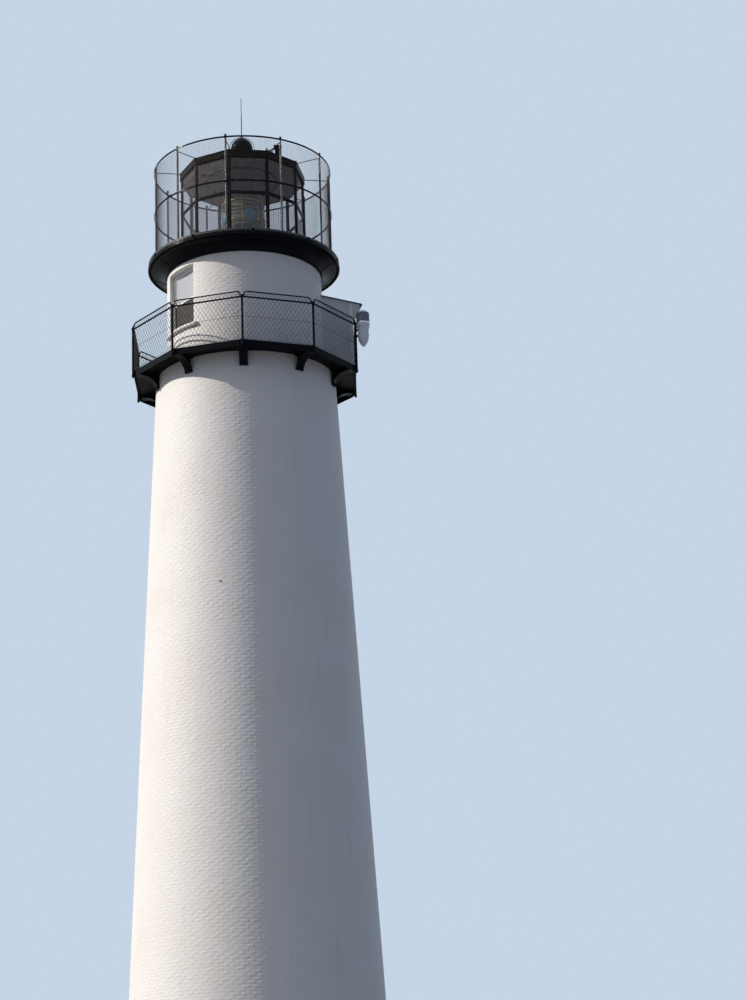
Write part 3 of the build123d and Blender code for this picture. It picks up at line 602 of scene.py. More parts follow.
nodeFinishes = {
    "ground_floor": concrete, "entrance_frame": doorPaint, "entrance_door": doorPaint,
    "window_frames": trimWhite, "window_sashes": trimWhite, "window_sills": trimWhite,
    "window_glass": windowPaneSkyReflection, "vestibule_sides": shadedBoardWhite, "vestibule_front": shadedBoardWhite,
    "vestibule_door": shadedBoardWhite, "vestibule_roof": roofFelt, "gallery_door": doorPaint,
    "signal_housing": housingPaintSkyLit, "gallery_deck": deckPlate, "upper_deck": deckPlate,
    "lantern_glass": lanternPane, "lantern_ceiling": brownBoards, "lens_glass": lensGlass,
    "lens_crown": brass, "red_screen": redPane, "cage_posts": postPaint,
}

for name, node in nodes.items():
    finish = nodeFinishes.get(name, ironPaint)
    if name.startswith(("shaft_wall", "watch_room_wall")):
        finish = whitewash
    node.data.materials.clear()
    node.data.materials.append(finish)
print("nodes painted")


# Tower sizes, read from the frame where its boxes give them

tower = {
    "baseRadius": -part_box("shaft_wall_1")[0].y,
    "topRadius": 2.112,
    "shaftTop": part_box("shaft_wall_1")[1].z,
    "drumRadius": 1.845,
    "drumAzimuth": 87.8,
    "deckTop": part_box("gallery_deck")[1].z,
    "corniceLow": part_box("cornice")[0].z,
    "upperLevel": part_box("upper_deck")[1].z,
    "rimRadius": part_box("deck_rim")[1].x,
    "eaveLow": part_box("lantern_eave")[0].z,
    "eaveTop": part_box("lantern_roof")[0].z,
    "roofTop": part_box("lantern_roof")[1].z,
    "galleryAzimuth": -1.3,
    "postRadius": 2.738,
    "doorAzimuth": 98.78,
    "lanternAzimuth": -12.5,
    "lanternRadius": 1.5,
    "eaveRadius": 1.52,
    "cageAzimuth": -10.5,
    "cageRadius": 2.109,
    "windowAzimuths": (-56.2, 231.8),
}
tower["lean"] = math.atan((tower["baseRadius"] - tower["topRadius"]) / tower["shaftTop"])


def shaftRadius(level):
    return tower["baseRadius"] - (tower["baseRadius"] - tower["topRadius"]) * level / tower["shaftTop"]


# Raised bricks under thick paint, laid course by course

brickSetup = {
    "length": 0.21, "height": 0.065, "proud": 0.0017, "sunk": 0.0008, "endSunk": 0.0045,
    "edge": 0.022, "endEdge": 0.06, "pitch": 0.22, "course": 0.075, "joint": 0.010,
    "shortest": 0.035, "lumpy": 0.0006, "tilt": 0.005,
}


def makeBrick(s):  # a soft pillow, its ends drawn back to follow the round wall
    clearSelection()
    bpy.ops.mesh.primitive_grid_add(x_subdivisions=3, y_subdivisions=3, size=1, rotation=(math.pi / 2, 0, 0))
    brick = named("brick")
    flatHalf = s["length"] / 2 - s["endEdge"]
    flatRise = s["height"] / 2 - s["edge"]
    for point in brick.data.vertices:
        atEnd, atEdge = abs(point.co.x) > 0.4, abs(point.co.z) > 0.4
        point.co.x = math.copysign(s["length"] / 2 if atEnd else flatHalf, point.co.x)
        point.co.z = math.copysign(s["height"] / 2 if atEdge else flatRise, point.co.z)
        point.co.y = s["endSunk"] if atEnd else s["sunk"] if atEdge else -s["proud"]
    return brick


def splitAround(left, right, half):  # what is left of a brick beside an opening
    if half <= 0 or right <= -half or left >= half:
        return [(left, right)]
    return [(left, -half), (half, right)]


def brickPlaces(middle, sweep, low, high, radiusAt, lean, halfOpening):
    s = brickSetup
    places = []
    courses = round((high - low) / s["course"])
    rise = (high - low) / courses
    for course in range(courses):
        level = low + (course + 0.5) * rise
        radius = radiusAt(level)
        arc = radius * math.radians(sweep)
        count = round(arc / s["pitch"])
        half = min(halfOpening(level - rise / 2), halfOpening(level + rise / 2))
        halfArc = radius * math.asin(half / radius) if half > 0 else 0
        for k in range(count):
            start = -arc / 2 + (k + course % 2 / 2) * arc / count
            ends = start + s["joint"] / 2, start + arc / count - s["joint"] / 2
            for left, right in splitAround(*ends, halfArc):
                lump = dice.gauss(0, 1)
                nod, swing = dice.gauss(0, s["tilt"]), dice.gauss(0, s["tilt"])
                shade = dice.random()
                if right - left < s["shortest"]:
                    continue
                azimuth = middle + math.degrees((left + right) / 2 / radius)
                size = ((right - left) / s["length"], 1, (rise - s["joint"]) / s["height"])
                turn = (-lean + nod, 0, math.radians(azimuth) + swing)
                places.append((outward(azimuth, radius + s["lumpy"] * lump, level), turn, size, shade))
    return places


doorwaySetup = {
    "half": 0.5, "sill": 0.15, "head": 2.40, "rise": 0.125,
    "archBrick": 0.22, "voussoirs": 13, "spread": 0.6, "proud": 1.2,
}
windowSetup = {"half": 0.515, "low": 21.045, "high": 22.70}


def archRadius(s):
    return (s["half"] ** 2 + s["rise"] ** 2) / (2 * s["rise"])


def doorwayHalf(level):  # half width that the bricks keep clear of, arch ring included
    s = doorwaySetup
    if level < s["sill"] or level > s["head"] + s["archBrick"]:
        return 0
    if level <= s["head"] - s["rise"]:
        return s["half"]
    radius = archRadius(s)
    reach = (radius + s["archBrick"]) ** 2 - (level - s["head"] + radius) ** 2
    return min(math.sqrt(max(reach, 0)), s["half"] + s["archBrick"] * s["spread"])


def windowHalf(level):
    return windowSetup["half"] if windowSetup["low"] < level < windowSetup["high"] else 0


def noOpening(level):
    return 0


def archPlaces(s):  # bricks on end over the entrance
    radius = archRadius(s)
    middle = radius + s["archBrick"] / 2
    halfTurn = math.asin(s["half"] / radius)
    width = 2 * halfTurn * middle / s["voussoirs"] - brickSetup["joint"]
    height = s["archBrick"] - brickSetup["joint"]
    size = (width / brickSetup["length"], s["proud"], height / brickSetup["height"])
    places = []
    for k in range(s["voussoirs"]):
        turn = halfTurn * (2 * (k + 0.5) / s["voussoirs"] - 1)
        x, level = middle * math.sin(turn), s["head"] - radius + middle * math.cos(turn)
        wall = shaftRadius(level)
        spot = (x, -math.sqrt(wall ** 2 - x ** 2), level)
        places.append((spot, (-tower["lean"], turn, math.asin(x / wall)), size, dice.random()))
    return places


brick = makeBrick(brickSetup)
for k in range(6):
    opening = doorwayHalf if k == 0 else noOpening
    places = brickPlaces(60.0 * k, 60, 0, tower["shaftTop"], shaftRadius, tower["lean"], opening)
    finishPiece(layPieces(f"brickwork_{k + 1}", brick, places), whitewash, "white_brick")
for k in range(5):
    opening = windowHalf if k in (2, 3) else noOpening
    places = brickPlaces(tower["drumAzimuth"] + 72 * k, 72, tower["deckTop"], tower["corniceLow"],
                         lambda level: tower["drumRadius"], 0, opening)
    finishPiece(layPieces(f"drumBrickwork_{k + 1}", brick, places), whitewash, "white_brick")
finishPiece(layPieces("archBricks", brick, archPlaces(doorwaySetup)), whitewash, "white_brick")
bpy.data.objects.remove(brick)
print("bricks laid")


# Chain link in the gallery railing

chainSetup = {
    "side": 1.66, "apothem": 2.604, "wire": 0.0040, "halfDiamond": 0.0475,
    "rowHeight": 0.0757, "rows": 15, "low": 20.205,
}


def makeChainPanel(s):
    clearSelection()
    start = (-s["side"] / 2, -s["apothem"], s["low"])
    bpy.ops.mesh.primitive_circle_add(vertices=4, radius=s["wire"], fill_type="NGON", location=start)
    wire = named("chainWire")
    selectAll(wire)
    for row in range(s["rows"]):
        extrude((s["halfDiamond"] * (1 if row % 2 == 0 else -1), 0, s["rowHeight"]))
    twin = turnedCopy(leaveEdit(wire), "chainTwin", 0)
    selectAll(twin)
    middle = (start[0] + s["halfDiamond"], *start[1:])
    bpy.ops.transform.resize(value=(-1, 1, 1), center_override=middle)
    pair = joined("chainLink", [wire, closeUp(twin)])
    repeated(pair, (2 * s["halfDiamond"], 0, 0), int(s["side"] / (2 * s["halfDiamond"])))
    selectAll(pair)
    return closeUp(pair)


panel = makeChainPanel(chainSetup)
for number, azimuth in enumerate(azimuthsFrom(tower["galleryAzimuth"] + sideTurn), 1):
    finishPiece(turnedCopy(panel, f"chainLink_{number}", azimuth), wirePaint)
bpy.data.objects.remove(panel)
print("chain link hung")


# Wire mesh of the cage

meshSetup = {
    "radius": 2.124, "low": 23.12, "high": 25.53, "wire": 0.0026, "pitch": 0.045, "hoopSegments": 120,
}


def makeCageMesh(s):
    rod = addRod("meshWire", s["wire"], (0, 0, 0), s["high"] - s["low"], 3)
    count = round(2 * math.pi * s["radius"] / s["pitch"])
    wires = layPieces("meshWires", rod, ringOfPlaces(s["radius"], s["low"], count))
    bpy.data.objects.remove(rod)
    clearSelection()
    bpy.ops.mesh.primitive_torus_add(major_radius=s["radius"], minor_radius=s["wire"], minor_segments=3,
                                     major_segments=s["hoopSegments"], location=(0, 0, s["low"] + s["pitch"]))
    hoops = repeated(named("meshHoops"), (0, 0, s["pitch"]), int((s["high"] - s["low"]) / s["pitch"]) - 1)
    return joined("cageMesh", [wires, hoops])


finishPiece(makeCageMesh(meshSetup), rustyWire)
print("cage mesh drawn")


# Bolts and wire ties, used by the fittings below

def makeBolt(name, radius, height):  # washer and hexagon head, facing -Y at the origin
    bolt = addDisc(name, radius * 1.5, height * 0.3, 6)
    selectSide(bolt, front)
    bpy.ops.mesh.inset(thickness=radius * 0.5)
    extrude(front * height * 0.7)
    bpy.ops.mesh.inset(thickness=radius * 0.15)
    bpy.ops.transform.translate(value=front * height * 0.08)
    return leaveEdit(bolt)


def makeTie(name, radius, wire, tail, sides=10):  # a wire loop round a post, with its twisted end
    clearSelection()
    bpy.ops.mesh.primitive_torus_add(major_radius=radius, minor_radius=wire, major_segments=sides,
                                     minor_segments=3)
    tie = named(name)
    reach = max(face.center.y for face in tie.data.polygons)
    selectFaces(tie, lambda face: face.center.y > reach - 1e-5)
    extrude((0, tail, -tail))
    return leaveEdit(tie)


# Gallery fittings

galleryFittings = {
    "footBolt": (0.013, 0.018), "footLevel": 19.815, "footSeat": 19.78, "footReach": 0.055,
    "footSpread": 0.062, "plateBolt": (0.009, 0.012), "plateSpread": 0.038, "plateLevels": (20.10, 20.175),
    "collar": (0.0285, 0.037, 0.055), "cap": (0.026, 0.040), "capDome": 0.010, "railLevel": 21.225,
    "tieWire": 0.0022, "tieTail": 0.012, "postTie": 0.0305, "postTieStep": 0.135, "postTieTwist": 40,
    "railTie": 0.0235, "railTieStep": 0.24, "railTies": 6, "knobRadius": 0.036,
}


def makePostKnob(radius):  # the nut and rounded end under a railing post
    knob = addRod("postKnob", radius, (0, 0, -radius * 0.6), 0, 8)
    return drawnOut(knob, down, radius * 0.25, ((radius * 0.6, 1.25), (radius * 0.5, 0.4)))


def makeRailCollar(s):  # the fitting that takes the rails at a post
    inner, outer, height = s["collar"]
    level, place = s["railLevel"], (0, -tower["postRadius"])
    ring = addRing("collar", inner, outer, level - height / 2, level + height / 2, 12, place)
    cap = addRod("postCap", outer * 0.9, (*place, level + s["cap"][0]), level + s["cap"][1], 12)
    return joined("railCollar", [bevelled(ring, 0.003), raised(cap, up, outer * 0.3, s["capDome"])])


def fitGallery(s):
    first, posts, deckTop = tower["galleryAzimuth"], tower["postRadius"], tower["deckTop"]
    corners = azimuthsFrom(first)
    feet = [placeAt(a, shaftRadius(s["footSeat"]) + s["footReach"], s["footLevel"], side * s["footSpread"])
            for a in corners for side in (-1, 1)]
    layOnce("bracketBolts", makeBolt("footBolt", *s["footBolt"]), feet, ironPaint)
    plates = [placeAt(a, posts, level, side * s["plateSpread"])
              for a in corners for side in (-1, 1) for level in s["plateLevels"]]
    layOnce("postPlateBolts", makeBolt("plateBolt", *s["plateBolt"]), plates, ironPaint)
    knobs = ringOfPlaces(posts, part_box("gallery_posts")[0].z, 10, first)
    layOnce("postKnobs", makePostKnob(s["knobRadius"]), knobs, ironPaint)
    finishPiece(smoothed(copiesRound(makeRailCollar(s), "railCollars", first)), ironPaint)
    count = int((s["railLevel"] - deckTop) / s["postTieStep"])
    ties = [placeAt(a, posts, deckTop + (k + 0.5) * s["postTieStep"], 0, s["postTieTwist"] * k)
            for a in corners for k in range(count)]
    layOnce("postTies", makeTie("postTie", s["postTie"], s["tieWire"], s["tieTail"]), ties, dullZinc)
    railTie = placed(makeTie("railTie", s["railTie"], s["tieWire"], s["tieTail"]), turn=(0, math.pi / 2, 0))
    side, count = posts * math.cos(math.radians(sideTurn)), s["railTies"]
    spots = [placeAt(a, side, s["railLevel"], (k - (count - 1) / 2) * s["railTieStep"])
             for a in azimuthsFrom(first + sideTurn) for k in range(count)]
    layOnce("railTies", railTie, spots, dullZinc)


fitGallery(galleryFittings)


# Joint straps on the deck, and wires stretched through the chain link

strapSetup = {"near": 1.87, "far": 2.55, "width": 0.09, "thickness": 0.006, "edge": 0.006, "crown": 0.002}
footWireSetup = {"half": 0.81, "radius": 0.0028, "rises": (0.006, 0.55), "endWidth": 1.6}


def makeDeckStrap(s):
    half, top = s["width"] / 2, tower["deckTop"]
    strap = addBlock("deckStrap", (-half, -s["far"], top), (half, -s["near"], top + s["thickness"]))
    return raised(strap, up, s["edge"], s["crown"])


def makeFootWire(s):
    wires = []
    for rise in s["rises"]:
        y, level = -chainSetup["apothem"], chainSetup["low"] + rise
        wire = addBar("footWire", s["radius"], (-s["half"], y, level), (s["half"], y, level), 6)
        selectEnds(wire)
        bpy.ops.transform.resize(value=(1, s["endWidth"], s["endWidth"]))
        wires.append(leaveEdit(wire))
    return joined("footWires", wires)


gallerySide = tower["galleryAzimuth"] + sideTurn
finishPiece(copiesRound(makeDeckStrap(strapSetup), "deckStraps", gallerySide), ironPaint)
finishPiece(copiesRound(makeFootWire(footWireSetup), "footWires", gallerySide), wirePaint)
print("gallery fitted")


# Cage fittings: wire laced round the posts and hoops, and hooks along the rim

cageFittings = {
    "postTie": 0.0235, "hoopTie": 0.022, "tieWire": 0.0046, "tieTail": 0.008, "tieStep": 0.034,
    "laced": (0.03, 2.43), "hoopTies": 90, "hoopProud": 0.027, "hoopLevels": (24.40, 25.53), "hoopFlat": 0.45,
    "rimBars": 358, "rimBar": (0.011, 0.006, 0.062), "rimInset": 0.017, "rimDrop": 0.035,
}


def makeRimBar(width, depth, height):  # a short upright hook that holds the wire mesh at the rim
    bar = addBlock("rimBar", (-width / 2, -depth, 0), (width / 2, 0, height))
    selectSide(bar, up)
    extrude((0, depth * 1.6, depth))
    return leaveEdit(bar)


def fitCage(s):
    radius, deck = tower["cageRadius"], tower["upperLevel"]
    low, high = deck + s["laced"][0], deck + s["laced"][1]
    spots = [placeAt(a, radius, low + k * s["tieStep"], 0, 25 * (k % 3 - 1))
             for a in azimuthsFrom(tower["cageAzimuth"]) for k in range(int((high - low) / s["tieStep"]))]
    layOnce("cageTies", makeTie("cageTie", s["postTie"], s["tieWire"], s["tieTail"], 8), spots, glintWhiteWire)
    hoopTie = makeTie("hoopTie", s["hoopTie"], s["tieWire"], s["tieTail"], 8)
    hoopTie.scale = (s["hoopFlat"], 1, 1)
    around = [place for level in s["hoopLevels"]
              for place in ringOfPlaces(radius + s["hoopProud"], level, s["hoopTies"])]
    layOnce("hoopTies", placed(hoopTie, turn=(0, math.pi / 2, 0)), around, rustyWire)
    bars = ringOfPlaces(tower["rimRadius"] - s["rimInset"], deck - s["rimDrop"], s["rimBars"])
    layOnce("rimBars", makeRimBar(*s["rimBar"]), bars, dullZinc)


fitCage(cageFittings)


# Flanges at the joints of the rim and the cornice

corniceSetup = {
    "outer": (2.215, 22.975), "hollow": (2.0006, 22.8971), "inner": (1.8803, 22.77), "foot": 22.735,
    "steps": 7, "width": 0.022, "flangeHalf": 0.035, "flangeDrop": 0.125, "flangeRise": 0.012,
    "flangeDepth": 0.02, "proud": 0.001, "bolt": (0.008, 0.010), "boltDrops": (0.03, 0.085),
}


def arcThrough(first, middle, last, steps):  # points on the circle through three, in one plane
    (ax, ay), (bx, by), (cx, cy) = first, middle, last
    d = 2 * (ax * (by - cy) + bx * (cy - ay) + cx * (ay - by))
    a2, b2, c2 = ax * ax + ay * ay, bx * bx + by * by, cx * cx + cy * cy
    ux = (a2 * (by - cy) + b2 * (cy - ay) + c2 * (ay - by)) / d
    uy = (a2 * (cx - bx) + b2 * (ax - cx) + c2 * (bx - ax)) / d
    start, end = math.atan2(ay - uy, ax - ux), math.atan2(cy - uy, cx - ux)
    radius = math.hypot(ax - ux, ay - uy)
    turns = [start + (end - start) * k / steps for k in range(steps + 1)]
    return [(ux + radius * math.cos(t), uy + radius * math.sin(t)) for t in turns]


def makeCorniceRib(s):
    cove = arcThrough(s["outer"], s["hollow"], s["inner"], s["steps"])
    points = [(0, -radius, level) for radius, level in (*cove, (s["inner"][0], s["foot"]))]
    rib = addSweptBar("corniceRib", s["width"], points, math.radians(45))
    face, level = -tower["rimRadius"] - s["proud"], tower["upperLevel"]
    flange = addBlock("rimFlange", (-s["flangeHalf"], face, level - s["flangeDrop"]),
                      (s["flangeHalf"], -tower["rimRadius"] + s["flangeDepth"], level + s["flangeRise"]))
    bolts = [placed(makeBolt("flangeBolt", *s["bolt"]), (0, face, level - drop)) for drop in s["boltDrops"]]
    return joined("corniceRib", [rib, bevelled(flange, 0.003), *bolts])


lanternSide = tower["lanternAzimuth"] + sideTurn
finishPiece(copiesRound(makeCorniceRib(corniceSetup), "corniceRibs", lanternSide), ironPaint)
print("cage and cornice fitted")


# Lantern trim: glazing beads, curb panels, hip rolls, eave moulding and the ceiling's fittings

lanternTrim = {
    "bead": 0.014, "beadBack": 0.03, "beadFront": 0.018, "sideGap": 0.075,
    "panes": ((23.375, 24.395), (24.455, 25.335)),
    "curbPanel": (0.70, 23.15, 23.32), "curbFace": 0.010, "curbProud": 0.008, "curbBead": 0.022,
    "hipRadius": 0.012, "hipLift": 0.004, "hipTop": 0.19, "eaveBead": 0.010, "eaveBeadHeight": 0.03,
    "ceilingRing": (0.86, 0.905), "ceilingDrop": 0.045, "hook": (0.12, -0.97), "hookRadius": 0.045,
    "hookDrop": 0.07,
}


def makeGlazing(s):  # beads round the two panes of one side, and the curb's panel
    apothem = tower["lanternRadius"] * math.cos(math.radians(sideTurn))
    width = 2 * tower["lanternRadius"] * math.sin(math.radians(sideTurn)) - s["sideGap"]
    back, near, face = apothem - s["beadBack"], apothem - s["beadFront"], apothem + s["curbFace"]
    beads = [addFrame("glazingBead", width, low, high, back, near, s["bead"]) for low, high in s["panes"]]
    panel = addFrame("curbPanel", *s["curbPanel"], face, face + s["curbProud"], s["curbBead"])
    return joined("glazing", [*beads, panel])


def insetEnds(bar, edge):
    selectEnds(bar)
    bpy.ops.mesh.inset(thickness=edge)
    return leaveEdit(bar)


def makeHipRoll(s):
    low = (0, s["hipLift"] - tower["eaveRadius"], tower["eaveTop"] + s["hipLift"])
    roll = addBar("hipRoll", s["hipRadius"], low, (0, -s["hipTop"], tower["roofTop"] + s["hipLift"]))
    return insetEnds(roll, s["hipRadius"] * 0.4)


def makeEaveMoulding(s):
    outer, high, turn = tower["eaveRadius"], s["eaveBeadHeight"], tower["lanternAzimuth"]
    beads = [addRing("eaveBead", outer - 0.002, outer + s["eaveBead"], level, level + high, 10, turn=turn)
             for level in (tower["eaveLow"] + 0.002, tower["eaveTop"] - high - 0.004)]
    return joined("eaveMoulding", [bevelled(bead, 0.005, 2) for bead in beads])


def makeCeilingFittings(s):
    top, turn = tower["eaveLow"], tower["lanternAzimuth"]
    ring = addRing("ceilingRing", *s["ceilingRing"], top - s["ceilingDrop"], top, 10, turn=turn)
    hook = addRod("ceilingHook", s["hookRadius"], (*s["hook"], top - s["hookDrop"]), top, 10)
    return joined("ceilingFittings", [bevelled(ring, 0.008), drawnOut(hook, down, 0.018, ((0.03, 1),))])


finishPiece(copiesRound(makeGlazing(lanternTrim), "lanternGlazing", lanternSide), ironPaint)
finishPiece(smoothed(copiesRound(makeHipRoll(lanternTrim), "hipRolls", tower["lanternAzimuth"])), ironPaint)
finishPiece(makeEaveMoulding(lanternTrim), ironPaint)
finishPiece(makeCeilingFittings(lanternTrim), ironPaint)
print("lantern trimmed")


# Lens frame, bull's-eyes and lamp

lensSetup = {
    "radius": 0.517, "belt": (24.19, 24.67), "low": 23.69, "high": 25.27, "topRadius": 0.267,
    "lowRadius": 0.347, "power": 1.7, "bar": 0.014, "bars": 8, "barSteps": 14, "firstBar": -2.0,
    "ring": (-0.006, 0.012, 0.016), "eyeLevel": 24.28, "eyes": 4, "firstEye": 20.5, "eyeRadius": 0.17,
    "eyeSeat": 0.012, "eyeRim": 0.014, "eyeSteps": 3, "eyeStep": 0.009,
}
lampSetup = {
    "radius": 0.035, "low": 24.25, "high": 24.36, "postRadius": 0.02, "postTop": 24.26,
    "globe": ((0.02, 1.5), (0.05, 1.25), (0.05, 0.85), (0.03, 0.4)),
}


def lensRadius(s, level):  # straight at the belt, and drawn in above and below it
    beltLow, beltHigh = s["belt"]
    end, share = s["lowRadius"], max(0, (beltLow - level) / (beltLow - s["low"]))
    if level > beltHigh:
        end, share = s["topRadius"], (level - beltHigh) / (s["high"] - beltHigh)
    return s["radius"] - (s["radius"] - end) * share ** s["power"]


def makeLensFrame(s):
    rise = (s["high"] - s["low"]) / s["barSteps"]
    levels = [s["low"] + rise * k for k in range(s["barSteps"] + 1)]
    bar = addSweptBar("lensBar", s["bar"], [(0, -lensRadius(s, level), level) for level in levels])
    bars = copiesRound(bar, "lensBars", s["firstBar"], s["bars"])
    inner, outer, height = s["ring"]
    rings = [addRing("lensRing", s["radius"] + inner, s["radius"] + outer, level, level + height, 48)
             for level in s["belt"]]
    return joined("lensFrame", [bars, *rings])


def makeBullsEye(s):  # a stepped round glass on the lens's belt
    clearSelection()
    place = (0, s["eyeSeat"] - s["radius"], s["eyeLevel"])
    bpy.ops.mesh.primitive_circle_add(vertices=24, radius=s["eyeRadius"], fill_type="NGON", location=place,
                                      rotation=(math.pi / 2, 0, 0))
    eye = named("bullsEye")
    selectAll(eye)
    extrude(front * s["eyeRim"])
    for _ in range(s["eyeSteps"]):
        bpy.ops.mesh.inset(thickness=s["eyeRadius"] * 0.2)
        bpy.ops.transform.translate(value=front * s["eyeStep"])
    return closeUp(eye)


def makeLamp(s):
    lamp = addRod("lamp", s["radius"], (0, 0, s["low"]), s["high"], 12)
    post = addRod("lampPost", s["postRadius"], (0, 0, lensSetup["low"]), s["postTop"], 8)
    return joined("lensLamp", [drawnOut(lamp, up, 0.01, s["globe"]), flared(post, down, (2.5, 2.5, 1))])


finishPiece(makeLensFrame(lensSetup), brass, "brass")
eyes = copiesRound(makeBullsEye(lensSetup), "bullsEyes", lensSetup["firstEye"], lensSetup["eyes"])
finishPiece(smoothed(eyes), eyeGlassPaintedSky, "lens_glass")
finishPiece(smoothed(makeLamp(lampSetup)), galvanised, "brass")
print("lens dressed")


# Roof fittings: a louvred box that stands for the plain one, its bracket arm, and bands on the ball

roofBoxSetup = {
    "low": (0.80, -0.46), "high": (0.945, -0.33), "foot": 25.70, "top": 26.075, "panelRim": 0.02,
    "panelSunk": 0.01, "lidOut": 0.025, "lidBack": 0.02, "lid": 0.028, "lidEdge": 0.03, "lidCrown": 0.02,
    "slats": 4, "firstSlat": 0.14, "slatStep": 0.05, "slatHeight": 0.022, "slatFall": 0.014,
    "slatInset": 0.02, "slatProud": 0.004, "slatSunk": 0.012,
    "flashing": (0.19, 0, 0.175, 0, 0.012, 0.025), "flashingPlace": (0.873, -0.482, 25.75),
}


def makeRoofBox(s):
    (x, y), (farX, farY) = s["low"], s["high"]
    box = addBlock("roofBox", (x, y, s["foot"]), (farX, farY, s["top"]))
    selectFaces(box, lambda face: min(face.normal.x, face.normal.y) < -0.9)
    bpy.ops.mesh.inset(thickness=s["panelRim"], use_individual=True)
    bpy.ops.mesh.extrude_faces_move(TRANSFORM_OT_shrink_fatten={"value": -s["panelSunk"]})
    leaveEdit(box)
    lid = addBlock("roofBoxLid", (x - s["lidOut"], y - s["lidOut"], s["top"]),
                   (farX + s["lidBack"], farY + s["lidBack"], s["top"] + s["lid"]))
    slats = []
    for k in range(s["slats"]):
        level = s["foot"] + s["firstSlat"] + s["slatStep"] * k
        slat = addBlock("slat", (x + s["slatInset"], y - s["slatProud"], level),
                        (farX - s["slatInset"], y + s["slatSunk"], level + s["slatHeight"]))
        selectSide(slat, front)
        bpy.ops.transform.translate(value=down * s["slatFall"])
        slats.append(leaveEdit(slat))
    collar = placed(addFrame("roofBoxFlashing", *s["flashing"]), s["flashingPlace"], (-math.pi / 2, 0, 0))
    return joined("roofBox", [box, raised(lid, up, s["lidEdge"], s["lidCrown"]), *slats, collar])


armSetup = {
    "start": (0.80, -0.40, 26.03), "end": (0.58, -0.50, 25.93), "foot": (0.58, -0.50, 25.80),
    "radius": 0.014, "propRadius": 0.012, "lampRadius": 0.05, "lampDrop": 0.05, "lampRise": 0.03,
    "lamps": ((0.58, -0.50, 25.96), (0.70, -0.45, 25.945)), "hood": (0.014, 0.025), "hoodRim": 0.015,
    "endEdge": 0.004,
}


def makeRoofArm(s):
    arm = addBar("roofArm", s["radius"], s["start"], s["end"])
    prop = addBar("roofProp", s["propRadius"], s["end"], s["foot"])
    return joined("roofArm", [insetEnds(bar, s["endEdge"]) for bar in (arm, prop)])


def makeRoofLamps(s):  # two small pale hooded fittings below the arm
    lamps = [addRod("roofLamp", s["lampRadius"], (x, y, z - s["lampDrop"]), z + s["lampRise"])
             for x, y, z in s["lamps"]]
    return joined("roofLamps", [raised(raised(lamp, up, *s["hood"]), up, s["hoodRim"]) for lamp in lamps])


ballSetup = {
    "centre": 26.235, "radius": 0.265, "band": 0.006, "bandSunk": 0.004, "bandHalf": 0.012,
    "skirt": (0.115, 0.20), "skirtSunk": 0.02, "skirtHigh": 0.05, "skirtTop": 0.72,
}


def makeBallBands(s):
    middle, half, roof = s["centre"], s["bandHalf"], tower["roofTop"]
    inner, outer = s["radius"] - s["bandSunk"], s["radius"] + s["band"]
    belt = addRing("ballBelt", inner, outer, middle - half, middle + half, 40)
    skirt = addRing("ventSkirt", *s["skirt"], roof - s["skirtSunk"], roof + s["skirtHigh"], 24)
    flared(skirt, up, (s["skirtTop"], s["skirtTop"], 1), center_override=(0, 0, 0))
    return joined("ballBands", [bevelled(belt, 0.004), skirt])


finishPiece(makeRoofBox(roofBoxSetup), ironPaint, "black_iron", "roof_box")
finishPiece(makeRoofArm(armSetup), ironPaint)
finishPiece(smoothed(makeRoofLamps(armSetup)), housingPaintSkyLit, "pale_housing")
finishPiece(smoothed(makeBallBands(ballSetup)), ironPaint)
print("roof dressed")


# Window stops and insect screens

windowTrim = {
    "width": 0.96, "low": 21.17, "middle": 21.90, "high": 22.595, "frameFace": 1.6667,
    "screenFace": 1.650, "bead": (1.028, 21.137, 22.629), "stopBar": 0.018, "beadBar": 0.014,
    "stopOver": 0.004, "stopDepth": (0.013, 0.012), "beadDepth": (0.002, 0.016), "screenBar": 0.022,
    "screenGap": 0.042, "screenFoot": 0.018, "screenDepth": 0.012, "clothInset": 0.04, "clothFoot": 0.035,
    "clothHead": 0.015, "clothDepth": (0.006, 0.007), "clothEdge": 0.03, "clothDish": 0.0008,
}


def makeWindowStops(s):
    face, width = s["frameFace"], s["width"] + s["stopOver"]
    back, near = s["stopDepth"]
    stop = addFrame("windowStop", width, s["low"], s["high"], face - back, face + near, s["stopBar"])
    back, near = s["beadDepth"]
    bead = addFrame("windowBead", *s["bead"], face - back, face + near, s["beadBar"])
    return joined("windowStops", [bevelled(stop, 0.003), bevelled(bead, 0.004)])


def makeScreen(s):
    low, high, face = s["low"], s["middle"], s["screenFace"]
    width, half, (near, back) = s["width"] - s["screenGap"], s["width"] / 2 - s["clothInset"], s["clothDepth"]
    border = addFrame("screenFrame", width, low + s["screenFoot"], high, face - s["screenDepth"], face,
                      s["screenBar"])
    cloth = addBlock("screenCloth", (-half, near - face, low + s["clothFoot"]),
                     (half, back - face, high - s["clothHead"]))
    return joined("insectScreen", [border, raised(cloth, front, s["clothEdge"], -s["clothDish"])])


stops = makeWindowStops(windowTrim)
screen = makeScreen(windowTrim)
for number, azimuth in enumerate(tower["windowAzimuths"], 1):
    finishPiece(turnedCopy(stops, f"windowStops_{number}", azimuth), trimWhite, "white_paint")
    finishPiece(turnedCopy(screen, f"insectScreen_{number}", azimuth), screenCloth, "dark_paint")
bpy.data.objects.remove(stops)
bpy.data.objects.remove(screen)
print("windows dressed")


# Vestibule boards, trim and door furniture, modelled at azimuth 0 and swung to the door's azimuth

